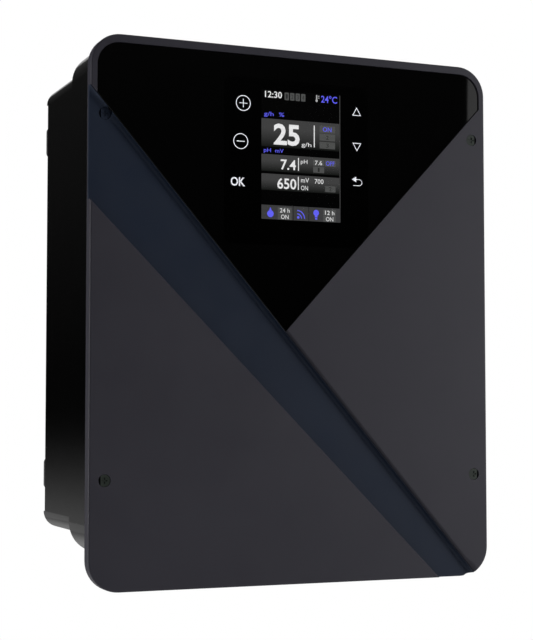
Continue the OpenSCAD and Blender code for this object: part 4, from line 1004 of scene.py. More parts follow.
signs = []
for x, z in key_left[:2]:
    signs.append(ring_sign(x, z, KEY_RADIUS, 48))
    signs.append(bar_sign(x, z, BAR_LENGTH, STROKE))
plus_x, plus_z = key_left[0]
signs.append(bar_sign(plus_x, plus_z, STROKE, BAR_LENGTH))
ok_x, ok_z = key_left[2]
signs.append(written("OK", ok_x - OK_HALF_WIDTH, ok_z - OK_HALF_HEIGHT, ok_x + OK_HALF_WIDTH,
                     ok_z + OK_HALF_HEIGHT, ink_back, INK, 0.02))
for (x, z), turn, shift in zip(key_right[:2], (0.0, math.pi), (-TRIANGLE_SHIFT, TRIANGLE_SHIFT)):
    signs.append(ring_sign(x, z + shift, TRIANGLE_RADIUS, 3, turn))
signs.append(return_arrow(*key_right[2], ARROW_WIDTH, ARROW_HEIGHT))
key_signs = join(signs)
finish_piece(key_signs, "key_signs", white_ink)
print("key signs:", len(key_signs.data.polygons), "faces")

# %% [markdown]
# ## The picture on the screen
#
# The display is a colour liquid crystal panel that stands upright. Its picture shows a time, a
# temperature, one large output value, two measured values and a row of states. The wording here
# is the plainest that such a picture can have: numbers, units and ON or OFF.
#
# A liquid crystal panel glows by itself, so everything on it has an emission of strength 1 or
# less, under which a colour looks as it is written. Bars, tags and writing are thin plates in
# three layers, 0.02 mm apart, just in front of the display's glass. Places are counted in
# millimetres from the picture's upper left corner, as a layout is.

# %% Layers and plates
LAYER = 0.02 * MM
PLATE = 0.015 * MM
PANEL, BAR, TAG, WRITING = range(4)
screen_back = glass_low.y


def on_screen(u, v):
    """X and Z of a place that lies u right of and v below the picture's upper left corner."""
    return screen_left + u * MM, screen_top - v * MM


def tile(u0, v0, u1, v1, layer, corner=0.25):
    """A thin rounded plate between two places of the layout."""
    low_x, high_z = on_screen(u0, v0)
    high_x, low_z = on_screen(u1, v1)
    back = screen_back - layer * LAYER
    return rounded_block("tile", (low_x, back - PLATE, low_z), (high_x, back, high_z),
                         corner * MM, 3)


def label(words, u0, v0, u1, v1, weight=0.012):
    """Writing that fills a box of the layout."""
    low_x, high_z = on_screen(u0, v0)
    high_x, low_z = on_screen(u1, v1)
    return written(words, low_x, low_z, high_x, high_z, screen_back - WRITING * LAYER,
                   PLATE, weight)


# the wave texture turns 20 radians in each unit of its scale, which makes rows 2.9 mm apart
WAVE_RADIANS = 20
ROW_RADIAN = 0.46 * MM


def unlit_finish(name):
    """A black surface without gloss that shows only its own light."""
    finish, tree, shader, place = new_finish(name, Roughness=0.3, Emission_Strength=1.0,
                                             Specular_IOR_Level=0.0)
    shader.inputs["Base Color"].default_value = srgb("#000000")
    return finish, tree, shader, place


def glowing(name, colour):
    """A lit part of the picture: an even colour under glass, broken by the panel's rows."""
    finish, tree, shader, place = unlit_finish(name)
    rows = add_node(tree, "ShaderNodeTexWave",
                    {"bands_direction": "Z", "Scale": 1 / ROW_RADIAN / WAVE_RADIANS},
                    {"Vector": place})
    lit = add_mix(tree, add_range(tree, rows.outputs["Fac"], 0, 1, 0.0, 0.06), srgb(colour),
                  srgb("#000000"))
    tree.links.new(lit, shader.inputs["Emission Color"])
    return finish


BAR_LIGHT = "#424242"
BAR_DARK = "#141614"
BAR_LIGHT_ENDS = 0.35


def shaded_bar(name, top_v, foot_v):
    """A bar of the picture: light in its upper third, then darker down to its foot."""
    finish, tree, shader, place = unlit_finish(name)
    split = add_node(tree, "ShaderNodeSeparateXYZ", {}, {"Vector": place})
    top = on_screen(0, top_v)[1]
    foot = on_screen(0, foot_v)[1]
    down = add_range(tree, split.outputs[2], top, foot, 0.0, 1.0)
    shade = add_ramp(tree, down, [(0.0, srgb(BAR_LIGHT)), (BAR_LIGHT_ENDS, srgb(BAR_LIGHT)),
                                  (1.0, srgb(BAR_DARK))])
    tree.links.new(shade, shader.inputs["Emission Color"])
    return finish


# %% [markdown]
# The dark panel itself comes first, then the bars. Three of them are light over the upper third
# and get darker down to the foot; the bar of states is an even grey in three parts.

# %% The panel and its bars
crystal = glowing("liquid_crystal_dark", "#010101")
screen_panel = tile(0, 0, screen_w / MM, screen_h / MM, PANEL, 0.15)
finish_piece(screen_panel, "screen_panel", crystal)

BARS = {"output": (16.5, 32.4), "acid": (36.7, 46.3), "redox": (47.7, 57.0)}
for name, (top_v, foot_v) in BARS.items():
    bar = tile(0, top_v, 48.4, foot_v, BAR, 0.1)
    finish_piece(bar, "bar_" + name, shaded_bar("bar_shade_" + name, top_v, foot_v))

state_grey = glowing("state_bar_grey", "#404041")
state_bar = [tile(0, 65.4, 19.3, 73.44, BAR, 0.1), tile(19.6, 65.4, 29.0, 73.44, BAR, 0.1),
             tile(29.3, 65.4, 48.96, 73.44, BAR, 0.1)]
finish_piece(join(state_bar), "bar_states", state_grey)

# %% Tags
tag_grey = glowing("tag_grey", "#515251")
tags = [tile(u, 0.9, u + 2.7, 5.2, TAG, 0.4) for u in (14.2, 17.6, 21.0, 24.4)]
tags += [tile(35.9, v, 45.7, v + 3.9, TAG, 0.3) for v in (18.3, 22.9, 27.5)]
tags += [tile(31.9, 38.0, 38.6, 41.5, TAG, 0.3), tile(39.2, 38.0, 46.0, 41.5, TAG, 0.3)]
tags += [tile(31.9, 42.0, 38.8, 45.5, TAG, 0.3), tile(39.3, 52.7, 45.9, 56.2, TAG, 0.3)]
tags += [tile(10.0, v, 18.5, v + 3.4, TAG, 0.3) for v in (66.3, 69.9)]
tags += [tile(38.1, v, 46.0, v + 3.4, TAG, 0.3) for v in (66.3, 69.9)]
finish_piece(join(tags), "screen_tags", tag_grey)

side_grey = glowing("side_line_grey", "#454545")
side_line = tile(48.5, 0.0, 48.96, 65.3, TAG, 0.1)
finish_piece(side_line, "screen_side_line", side_grey)
print("screen tags:", len(tags))

# %% White writing
glow_white = glowing("screen_white", "#f2f2f2")
white = [
    label("12:30", 2.2, 0.8, 12.6, 4.5), label("25", 7.5, 18.9, 23.5, 31.1, 0.028),
    label("g/h", 24.6, 28.7, 30.8, 31.7, 0.0), label("7.4", 11.8, 39.1, 21.2, 45.0, 0.015),
    label("pH", 24.2, 38.5, 28.3, 41.5, 0.0), label("7.6", 33.0, 38.6, 37.5, 41.0, 0.0),
    label("650", 9.7, 49.8, 21.4, 55.9, 0.015), label("mV", 24.3, 48.9, 29.3, 51.6, 0.0),
    label("ON", 24.3, 53.4, 28.6, 56.0, 0.0), label("700", 32.8, 49.1, 38.3, 51.8, 0.0),
    label("24 h", 11.3, 66.9, 17.3, 69.3, 0.0), label("ON", 12.0, 70.5, 16.6, 72.9, 0.0),
    label("12 h", 39.3, 66.9, 45.1, 69.3, 0.0), label("ON", 39.8, 70.5, 44.4, 72.9, 0.0),
    tile(32.3, 18.5, 32.9, 31.0, WRITING, 0.1), tile(22.5, 37.7, 23.0, 45.1, WRITING, 0.1),
    tile(22.4, 48.5, 22.9, 56.0, WRITING, 0.1),
]
finish_piece(join(white), "screen_white", glow_white)

# %% Violet-blue writing and grey numbers
glow_violet = glowing("screen_violet_blue", "#6868ff")


def disc(u, v, radius, sides=20):
    """A thin round plate."""
    x, z = on_screen(u, v)
    start_clean()
    bpy.ops.mesh.primitive_circle_add(vertices=sides, radius=radius * MM, fill_type="NGON",
                                      location=(x, screen_back - WRITING * LAYER, z))
    plate = bpy.context.object
    stand_up(plate)
    return thicken(plate)


WAVE_WIDTH = 0.55 * MM


def wave_arc(u, v, radius):
    """A quarter ring to the upper right of a place: one of the waves that a sender gives off."""
    x, z = on_screen(u, v)
    start_clean()
    back = screen_back - WRITING * LAYER - PLATE / 2
    bpy.ops.mesh.primitive_plane_add(size=1, location=(x + radius * MM, back, z))
    arc = bpy.context.object
    arc.scale = (WAVE_WIDTH, PLATE, 1)
    fix_place()
    open_mesh(arc, "FACE", whole=True)
    bpy.ops.mesh.spin(steps=8, angle=math.pi / 2, center=(x, 0, z), axis=(0, 1, 0))
    bpy.ops.mesh.select_all(action="SELECT")
    bpy.ops.mesh.normals_make_consistent(inside=False)
    close_mesh()
    return arc


def water_drop(u, v, radius):
    """A drop: a flat circle whose top point is drawn upwards."""
    drop = disc(u, v, radius, sides=16)
    top = on_screen(u, v - radius)[1]
    open_mesh(drop, "VERT")
    close_mesh()
    for point in drop.data.vertices:
        point.select = point.co.z > top - 0.05 * MM
    bpy.ops.object.mode_set(mode="EDIT")
    bpy.ops.transform.translate(value=(0, 0, 0.9 * radius * MM))
    close_mesh()
    return drop


violet = [
    label("24°C", 36.9, 0.7, 47.0, 4.9), label("g/h  %", 1.6, 12.6, 14.0, 15.7, 0.004),
    label("pH  mV", 1.5, 33.3, 13.6, 36.2, 0.004), label("ON", 38.0, 19.0, 43.4, 21.6, 0.0),
    label("OFF", 39.9, 38.5, 45.3, 41.0, 0.0),
    water_drop(5.5, 70.3, 2.0), disc(22.6, 71.6, 0.75), wave_arc(22.0, 72.2, 2.6),
    wave_arc(22.0, 72.2, 4.5), disc(33.7, 68.5, 1.75),
    tile(32.9, 69.6, 34.5, 71.1, WRITING, 0.1), tile(33.0, 71.4, 34.4, 72.3, WRITING, 0.2),
]
finish_piece(join(violet), "screen_violet", glow_violet)

glow_grey = glowing("screen_grey_numbers", "#2a2b2a")
grey = [label(str(n + 1), u + 0.75, 1.8, u + 1.95, 4.3, 0.0)
        for n, u in enumerate((14.2, 17.6, 21.0, 24.4))]
grey += [label("2", 40.0, 23.8, 41.6, 26.1, 0.0), label("3", 40.0, 28.4, 41.6, 30.7, 0.0)]
grey += [label("1", 34.8, 42.6, 35.9, 44.9, 0.0), label("2", 41.8, 53.3, 43.4, 55.6, 0.0)]
finish_piece(join(grey), "screen_grey", glow_grey)

thermometer = [tile(33.8, 0.8, 34.5, 3.6, WRITING, 0.3), disc(34.15, 4.1, 0.7),
               tile(35.0, 1.2, 35.9, 1.6, WRITING, 0.1), tile(35.0, 2.3, 35.9, 2.7, WRITING, 0.1)]
finish_piece(join(thermometer), "screen_thermometer", glowing("screen_pale", "#b8b8b8"))
print("screen writing:", len(white) + len(violet) + len(grey), "marks")

# %% [markdown]
# ## The parts on the boards
#
# With the cover lifted off, the boards are what one sees. Components are repeated many times, so
# each kind is modelled once with its real small features, then duplicated to its places and
# joined into one piece. The construction already has their bodies in the right places; here come
# the ones whose body needs more than one material, with the details that a mould or a machine
# gives them.

# %% Helpers for repeated components
def second_finish(piece, finish, wanted):
    """Gives the faces that pass the test another finish."""
    piece.data.materials.append(finish)
    pick_faces(piece, wanted)
    piece.active_material_index = len(piece.data.materials) - 1
    bpy.ops.object.material_slot_assign()
    close_mesh()


def repeated(piece, places, turns=None):
    """Duplicates a piece that was made at the origin to each place, and joins the copies."""
    copies = []
    for index, place in enumerate(places):
        take(piece)
        bpy.ops.object.duplicate()
        copy = bpy.context.object
        copy.location = place
        if turns:
            copy.rotation_euler = (0, turns[index], 0)
        copies.append(copy)
    bpy.data.objects.remove(piece)
    whole = join(copies)
    fix_place()
    return whole


def front_cylinder(radius, low_y, high_y, sides=32, place=(0, 0)):
    """A cylinder along Y between two depths, its axis through a place on the XZ plane."""
    start_clean()
    bpy.ops.mesh.primitive_cylinder_add(
        vertices=sides, radius=radius, depth=high_y - low_y,
        location=(place[0], (low_y + high_y) / 2, place[1]), rotation=(math.pi / 2, 0, 0))
    rod = bpy.context.object
    fix_place()
    return rod


def in_front_of(depth):
    """A test for edges that lie wholly in front of one depth."""
    return lambda a, b: a.y < depth and b.y < depth


def bevelled(piece, wanted, offset, segments=2):
    """Breaks the edges whose two ends pass the test."""
    pick_edges(piece, wanted)
    bpy.ops.mesh.bevel(offset=offset, segments=segments, affect="EDGES")
    close_mesh()
    return piece


board_low, board_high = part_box("main_board")
board_front = board_low.y
board_middle = (board_low + board_high) / 2
print("main board front at", round(board_front / MM, 2), "mm")

# %% [markdown]
# ### Electrolytic capacitors
#
# An electrolytic capacitor is an aluminium can in a shrunk sleeve. The sleeve laps over the rim
# of the can and leaves its top bare, and a groove near the foot presses the can on its rubber
# bung. The top is an inset of the end face, pushed in a little, and takes the bare metal.

# %% Cans with a sleeve, a bare top and a groove
can_metal = metal("drawn_aluminium_can", "#c3c5c6", "#d8d9da", 0.30, 4 * MM)


def electrolytic(radius, height):
    """One capacitor at the origin that stands out of a board toward the front."""
    can = front_cylinder(radius, -height, 0.0, 28)
    bevelled(can, in_front_of(-height + 1e-6), 0.08 * radius, 3)
    groove = 0.16 * height
    open_mesh(can, "EDGE", whole=True)
    bpy.ops.mesh.bisect(plane_co=(0, -groove, 0), plane_no=(0, 1, 0))
    bpy.ops.mesh.bevel(offset=0.05 * height, segments=2, affect="EDGES")
    close_mesh()
    pick_edges(can, lambda a, b: abs(a.y + groove) < 0.01 * height
               and abs(b.y + groove) < 0.01 * height)
    bpy.ops.transform.resize(value=(0.93, 1, 0.93), center_override=(0, -groove, 0))
    close_mesh()
    pick_faces(can, lambda c, n: n.y < -0.99 and c.y < -height + 1e-6)
    bpy.ops.mesh.inset(thickness=0.12 * radius)
    bpy.ops.mesh.extrude_region_move(TRANSFORM_OT_translate={"value": (0, 0.02 * height, 0)})
    close_mesh()
    coat(can, capacitor_sleeve)
    second_finish(can, can_metal, lambda c, n: n.y < -0.9 and math.hypot(c.x, c.z) < 0.9 * radius)
    return can


def board_place(share_x, share_z):
    """A place on the main board's front, in shares of its width and length from its middle."""
    return (board_middle.x + share_x * (board_high.x - board_low.x), board_front,
            board_middle.z + share_z * (board_high.z - board_low.z))


large_cans = repeated(electrolytic(6.25 * MM, 25 * MM),
                      [board_place(x, 0.25) for x in (-0.036, 0.06, 0.155)])
small_cans = repeated(electrolytic(3.15 * MM, 11 * MM),
                      [board_place(x, 0.083) for x in (-0.065, -0.006, 0.054, 0.113)])
cans = join([large_cans, small_cans])
finish_piece(cans, "board_capacitors", None, body="housing", smooth=35)
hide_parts("capacitors")
print("capacitors:", len(cans.data.polygons), "faces")

# %% [markdown]
# ### The choke
#
# The choke of the output stage is a ring of iron powder, painted pale yellow, with one layer of
# enamelled wire. One turn of wire is a torus that stands across the ring; it is duplicated
# around the ring in equal steps and leaves a gap where the two ends come out.

# %% Ring and turns
ring_paint = moulded("pale_yellow_ring_paint", "#b8ad5e", "#c6bb6c", 0.5, flow=8 * MM)
choke_low, choke_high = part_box("output_choke")
choke_middle = (choke_low + choke_high) / 2
ring_radius = 9 * MM
wire_radius = 0.75 * MM
core_radius = 5 * MM - 2 * wire_radius
TURNS = 20

start_clean()
bpy.ops.mesh.primitive_torus_add(major_segments=48, minor_segments=16, major_radius=ring_radius,
                                 minor_radius=core_radius, location=choke_middle,
                                 rotation=(math.pi / 2, 0, 0))
ring = bpy.context.object
coat(ring, ring_paint)
bpy.ops.mesh.primitive_torus_add(
    major_segments=20, minor_segments=6, major_radius=core_radius + 0.9 * wire_radius,
    minor_radius=wire_radius, location=(choke_middle.x + ring_radius, choke_middle.y,
                                        choke_middle.z))
turn = bpy.context.object
coat(turn, copper_wire)
turns = [turn]
for step in range(1, TURNS):
    take(turn)
    bpy.ops.object.duplicate()
    bpy.ops.transform.rotate(value=step * 2 * math.pi / (TURNS + 2), orient_axis="Y",
                             center_override=choke_middle)
    turns.append(bpy.context.object)
choke = join([ring] + turns)
finish_piece(choke, "board_choke", None, body="housing", smooth=60)
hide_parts("output_choke")
print("choke:", TURNS, "turns,", len(choke.data.polygons), "faces")

# %% [markdown]
# ### Relays
#
# A relay is a sealed case with rounded edges and its ratings printed on top. The printing is
# only numbers and units.

# %% Cases and ratings
relay_print, tree, shader, place = new_finish("white_relay_print", IOR=1.5, Roughness=0.6)
two_tone(tree, shader, add_noise(tree, place, 1.5 * MM, 3.0), "#c9ccd2", "#eceef0")


def relay(width, length, height):
    """One relay case at the origin, from the board toward the front."""
    case = rounded_block("relay", (-width / 2, -height, -length / 2),
                         (width / 2, 0, length / 2), 0.9 * MM, 3)
    bevelled(case, in_front_of(-height + 1e-6), 0.5 * MM)
    coat(case, relay_case)
    return case


relays = []
prints = []
for shares, size, words in (
        ([(x, -0.208) for x in (-0.054, 0.065, 0.184)], (15.5, 19.5, 15.5), ("12 V", "5 A")),
        ([(x, 0.062) for x in (-0.393, -0.238)], (22, 28, 26), ("12 V", "30 A"))):
    width, length, height = [s * MM for s in size]
    places = [board_place(*share) for share in shares]
    relays.append(repeated(relay(width, length, height), places))
    for x, y, z in places:
        for row, word in enumerate(words):
            middle = z + length * (0.16 - 0.32 * row)
            prints.append(written(word, x - 0.32 * width, middle - 0.07 * length,
                                  x + 0.32 * width, middle + 0.07 * length,
                                  y - height, 0.03 * MM))
relay_cases = join(relays)
finish_piece(relay_cases, "board_relays", None, body="housing", smooth=35)
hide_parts("relays")
finish_piece(join(prints), "relay_ratings", relay_print, body="housing")
print("relays:", len(relay_cases.data.polygons), "faces, ratings:", len(prints))

# %% [markdown]
# ### The fuse
#
# A glass fuse is a tube with a plated cap at each end and a thin wire between them.

# %% Tube, caps and wire
fuse_low, fuse_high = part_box("glass_fuse")
fuse_middle = (fuse_low + fuse_high) / 2
fuse_radius = (fuse_high.z - fuse_low.z) / 2
CAP_LENGTH = 5.5 * MM


def lying_cylinder(radius, low_x, high_x, sides=32):
    """A cylinder along X on the fuse's axis."""
    start_clean()
    bpy.ops.mesh.primitive_cylinder_add(
        vertices=sides, radius=radius, depth=high_x - low_x, rotation=(0, math.pi / 2, 0),
        location=((low_x + high_x) / 2, fuse_middle.y, fuse_middle.z))
    fix_place()
    return bpy.context.object


tube = lying_cylinder(fuse_radius * 0.94, fuse_low.x + MM, fuse_high.x - MM)
coat(tube, fuse_glass)
caps = []
for low_x in (fuse_low.x, fuse_high.x - CAP_LENGTH):
    cap = lying_cylinder(fuse_radius, low_x, low_x + CAP_LENGTH)
    bevelled(cap, lambda a, b: abs(a.x - b.x) < 1e-7, 0.25 * MM)
    coat(cap, nickel_brass)
    caps.append(cap)
wire = lying_cylinder(0.12 * MM, fuse_low.x + 2 * MM, fuse_high.x - 2 * MM, 8)
coat(wire, tinned_steel)
fuse = join([tube, wire] + caps)
finish_piece(fuse, "board_fuse", None, body="housing", smooth=35)
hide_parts("glass_fuse")
print("fuse:", len(fuse.data.polygons), "faces")

# %% [markdown]
# ### Terminal screws
#
# Each way of a terminal block has a slotted screw at the foot of its well. One screw is made
# from a disc with broken edges and a slot cut by a Boolean. They are turned by different
# angles, as screws are after use; a fixed seed keeps the angles the same each time.

# %% Slotted screws in the wells
chance = random.Random(7)


def slotted_screw(radius):
    """One screw head at the origin that looks toward the front."""
    head = front_cylinder(radius, -0.8 * MM, 0.0, 24)
    bevelled(head, in_front_of(-0.7 * MM), 0.2 * MM)
    cut(head, plain_block((-radius * 1.2, -MM, -0.16 * radius), (radius * 1.2, -0.4 * MM,
                                                                 0.16 * radius)))
    coat(head, zinc_steel)
    return head


MAINS_PITCH, RELAY_PITCH, SENSOR_PITCH = 9.5, 5.08, 3.81
WELL_FLOOR, WELL_MIDDLE, SCREW_SHARE = 0.38, 0.1, 0.27


def ways_of(name, pitch):
    """The two corners of a terminal block and the X of each of its ways."""
    low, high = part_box(name)
    ways = round((high.x - low.x) / (pitch * MM))
    return low, high, [(low.x + high.x) / 2 + (i + 0.5 - ways / 2) * pitch * MM
                       for i in range(ways)]


screws = []
for name, pitch in (("psu_terminals", MAINS_PITCH), ("mains_terminals", MAINS_PITCH),
                    ("relay_terminals", RELAY_PITCH), ("sensor_terminals", SENSOR_PITCH)):
    low, high, ways = ways_of(name, pitch)
    depth = high.z - low.z
    floor_y = low.y + WELL_FLOOR * (high.y - low.y)
    places = [(x, floor_y, (low.z + high.z) / 2 + WELL_MIDDLE * depth) for x in ways]
    screws.append(repeated(slotted_screw(SCREW_SHARE * pitch * MM), places,
                           [chance.uniform(0, math.pi) for _ in places]))
    print(name, len(ways), "ways")
terminal_screws = join(screws)
finish_piece(terminal_screws, "terminal_screws", None, body="housing",
             smooth=35)

# %% [markdown]
# ### Small parts on the main board
#
# A machine places the small parts in straight rows: chip resistors with a black back and tinned
# ends, and a few small chips with eight legs. A resistor is one block cut into three along X,
# so that its ends can take another finish.

# %% Chip resistors and capacitors
CHIP = (2.0 * MM, 0.55 * MM, 1.25 * MM)
ceramic_tan = moulded("tan_ceramic_chip", "#8d7350", "#9c8360", 0.5, flow=3 * MM)


def chip_part(body_finish):
    """One chip resistor or capacitor at the origin."""
    chip = plain_block((-CHIP[0] / 2, -CHIP[1], -CHIP[2] / 2), (CHIP[0] / 2, 0, CHIP[2] / 2))
    for side in (-0.6, 0.6):
        open_mesh(chip, "FACE", whole=True)
        bpy.ops.mesh.bisect(plane_co=(side * MM, 0, 0), plane_no=(1, 0, 0))
        close_mesh()
    coat(chip, body_finish)
    second_finish(chip, tinned_steel, lambda c, n: abs(c.x) > 0.61 * MM)
    return chip


CHIP_ROWS = [(42, -96.2, 6, 2, 5.2, 3.2), (24, -70.4, 4, 3, 3.6, 3.0), (-29, -90, 3, 4, 3.6, 3.6),
             (-62, -24.2, 8, 2, 4.6, 3.2), (-76, -90, 4, 3, 4.2, 3.6), (63.6, -62, 4, 2, 3.8, 2.8)]
resistors, ceramics = [], []
for x, z, count_x, count_z, pitch_x, pitch_z in CHIP_ROWS:
    for i in range(count_x):
        for j in range(count_z):
            spot = ((x + i * pitch_x) * MM, board_front, (z + j * pitch_z) * MM)
            (ceramics if chance.random() < 0.35 else resistors).append(spot)
chips = join([repeated(chip_part(black_epoxy), resistors),
              repeated(chip_part(ceramic_tan), ceramics)])
finish_piece(chips, "board_chips", None, body="housing")
print("chip parts:", len(resistors), "resistors and", len(ceramics), "capacitors")

# %% Small chips with eight legs
def eight_legs():
    """One small chip at the origin: a body with a sloping edge and four legs to a side."""
    body = plain_block((-2.5 * MM, -1.6 * MM, -1.95 * MM), (2.5 * MM, -0.15 * MM, 1.95 * MM))
    bevelled(body, in_front_of(-1.5 * MM), 0.3 * MM, 1)
    coat(body, black_epoxy)
    legs = []
    for side in (-1, 1):
        for i in range(4):
            x = (i - 1.5) * 1.27 * MM
            low_z, high_z = sorted((side * 1.9 * MM, side * 3.0 * MM))
            leg = plain_block((x - 0.2 * MM, -0.35 * MM, low_z), (x + 0.2 * MM, 0, high_z))
            bevelled(leg, in_front_of(-0.3 * MM), 0.08 * MM, 1)
            coat(leg, tinned_steel)
            legs.append(leg)
    return join([body] + legs)


small_chips = repeated(eight_legs(), [(x * MM, board_front, z * MM) for x, z in (
    (-24.5, -66), (-24.5, -54), (-68, -33), (-52, -33), (-36, -33))])
finish_piece(small_chips, "board_small_chips", None, body="housing")
print("small chips:", len(small_chips.data.polygons), "faces")

# %% [markdown]
# ### The controller
#
# The controller is a flat square package. Its legs are part of the construction's piece, so a
# copy of that piece only needs a second finish on all that lies outside the square body. A small
# printed dot marks one corner.

# %% Body and legs of the controller
chip_low, chip_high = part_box("controller_chip")
chip_middle = (chip_low + chip_high) / 2
BODY_HALF = 7.02 * MM
controller = merged_copy("controller_chip")
coat(controller, black_epoxy)
second_finish(controller, tinned_steel, lambda c, n: max(
    abs(c.x - chip_middle.x), abs(c.z - chip_middle.z)) > BODY_HALF)
dot = front_cylinder(0.5 * MM, chip_low.y - 0.02 * MM, chip_low.y + 0.02 * MM, 16,
                     (chip_low.x + 2.6 * MM, chip_high.z - 2.6 * MM))
bevelled(dot, in_front_of(chip_low.y - 0.01 * MM), 0.01 * MM, 1)
coat(dot, relay_print)
finish_piece(join([controller, dot]), "board_controller", None, body="housing")
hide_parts("controller_chip")
print("controller ready")

# %% [markdown]
# ### The power supply's parts
#
# Under the perforated cover lie a transformer and two large capacitors. The transformer is a
# black ferrite core round a coil that is wrapped in yellow tape. The capacitors come from the
# same helper as those on the main board.

# %% Core, coil and bulk capacitors
ferrite = moulded("sintered_ferrite", "#1b1a1b", "#242223", 0.62, grain=0.5 * MM,
                  depth=0.012 * MM, flow=8 * MM)
supply_low, supply_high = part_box("psu_transformer")
supply_board = supply_high.y
CAN_SHARE, COIL_SHARE, CORE_SHARE = 0.28, 0.46, 0.385
supply_cover_low, supply_cover_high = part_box("psu_cover")
can_radius = CAN_SHARE / 2 * (supply_cover_high.x - supply_cover_low.x)
can_height = supply_high.y - supply_low.y
can_x = supply_low.x + can_radius
can_z = supply_low.z + can_radius
bulk = repeated(electrolytic(can_radius, can_height), [
    (can_x, supply_board, can_z), (can_x, supply_board, can_z + 2.4 * can_radius)])

coil_wide = COIL_SHARE / CAN_SHARE * 2 * can_radius
coil_middle = Vector((supply_high.x - coil_wide / 2, supply_board, 0))
coil_middle.z = supply_high.z - 13 * MM if supply_high.z > can_z + 3.5 * can_radius else can_z
core_wide = CORE_SHARE / CAN_SHARE * 2 * can_radius
core_z = can_z + can_radius * 2 + 0.6 * MM
core = rounded_block("core", (coil_middle.x - core_wide / 2, supply_board - 20 * MM,
                              core_z - 13 * MM),
                     (coil_middle.x + core_wide / 2, supply_board, core_z + 13 * MM), MM, 3)
bevelled(core, in_front_of(supply_board - 19.9 * MM), 0.5 * MM)
coat(core, ferrite)
coil = rounded_block("coil", (coil_middle.x - coil_wide / 2, supply_board - 16 * MM,
                              core_z - 9 * MM),
                     (coil_middle.x + coil_wide / 2, supply_board - 4 * MM, core_z + 9 * MM),
                     1.5 * MM, 4)
coat(coil, transformer_tape)
supply_parts = join([core, coil, bulk])
finish_piece(supply_parts, "supply_parts", None, body="housing",
             smooth=35)
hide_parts("psu_transformer")
print("supply parts:", len(supply_parts.data.polygons), "faces, core at z",
      round(core_z / MM, 1), "mm")

# %% [markdown]
# ### Power transistors
#
# Three flat packages are screwed to the heat sink's shelf. Their legs are tinned; all that lies
# below the bodies' lower edge takes that finish.

# %% Bodies and legs of the transistors
stage_low, stage_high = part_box("power_transistors")
BODY_LENGTH = 20.6 * MM
stage = merged_copy("power_transistors")
coat(stage, black_epoxy)
second_finish(stage, tinned_steel, lambda c, n: c.z < stage_high.z - BODY_LENGTH - 0.01 * MM)
bevelled(stage, lambda a, b: a.y < stage_low.y + 1e-6 and b.y < stage_low.y + 1e-6
         and min(a.z, b.z) > stage_high.z - BODY_LENGTH - 0.01 * MM, 0.4 * MM)
finish_piece(stage, "stage_transistors", None, body="housing", smooth=35)
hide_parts("power_transistors")
print("transistors:", len(stage.data.polygons), "faces")

# %% [markdown]
# ### Pins in the ribbon headers
#
# Each box header holds two rows of square gilt pins on a pitch of 2.54 mm. The pin's tip is
# broken by a bevel, as on a real pin, which also lets it catch the light.

# %% Header pins
PIN_PITCH = 2.54 * MM
PIN_COUNT = 10


def header_pin(length, toward):
    """One pin at the origin that points toward the front (-1) or the back (+1)."""
    low_y, high_y = sorted((0.0, toward * length))
    pin = plain_block((-0.32 * MM, low_y, -0.32 * MM), (0.32 * MM, high_y, 0.32 * MM))
    tip = toward * length
    bevelled(pin, lambda a, b: abs(a.y - tip) < 1e-6 and abs(b.y - tip) < 1e-6, 0.15 * MM, 1)
    coat(pin, gilt)
    return pin


for name, toward, body in (("ribbon_header", -1, "housing"), ("display_header", 1, "cover")):
    low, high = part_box(name)
    root_y = (high.y if toward < 0 else low.y) + toward * 2 * MM
    places = [((low.x + high.x) / 2 + (i + 0.5 - PIN_COUNT / 2) * PIN_PITCH, root_y,
               (low.z + high.z) / 2 + side * PIN_PITCH / 2)
              for i in range(PIN_COUNT) for side in (-1, 1)]
    pins = repeated(header_pin(4.6 * MM, toward), places)
    finish_piece(pins, name + "_pins", None, body=body)
    print(name, len(places), "pins")

# %% [markdown]
# ### Numbers beside the terminals
#
# The numbers of the ways are screen-printed on the board in white ink, above each row.

# %% Printed numbers
numbers = []
for name, pitch, height in (("mains_terminals", MAINS_PITCH, 1.8),
                            ("relay_terminals", RELAY_PITCH, 1.5),
                            ("sensor_terminals", SENSOR_PITCH, 1.3)):
    low, high, ways = ways_of(name, pitch)
    foot = high.z + 0.7 * MM
    for i, middle in enumerate(ways):
        numbers.append(written(str(i + 1), middle - 0.3 * height * MM, foot,
                               middle + 0.3 * height * MM, foot + height * MM,
                               board_front, 0.03 * MM, 0.02))
finish_piece(join(numbers), "board_numbers", relay_print, body="housing")
print("printed numbers:", len(numbers))

# %% [markdown]
# ### The cover's screws
#
# The screws are coated a greenish grey, but the one in the band takes the band's navy. Their
# heads have a shallow cross. The construction gives the cross its full depth; on the copy its
# floor is drawn up, so that only a faint cross shows.

# %% Shallow crosses
CROSS_DEPTH = 0.45 * MM
FULL_DEPTH = 1.1 * MM
cover_screws = merged_copy("cover_screws")
tops = sorted({round(f.center.y, 6) for f in cover_screws.data.polygons
               if f.normal.y < -0.99 and f.area > 2e-6})
print("flat levels of the heads:", [round(t / MM, 2) for t in tops])
for top in (tops[0], [t for t in tops if t > tops[0] + 2 * MM][0]):
    pick_faces(cover_screws, lambda c, n: n.y < -0.99 and top + 0.5 * MM < c.y < top + 2 * MM)
    bpy.ops.transform.translate(value=(0, CROSS_DEPTH - FULL_DEPTH, 0))
    close_mesh()
coat(cover_screws, screw_cap)
second_finish(cover_screws, band_abs, lambda c, n: c.x < 0 and c.z > 0)
finish_piece(cover_screws, "cover_screw_heads", None, smooth=35)
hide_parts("cover_screws")

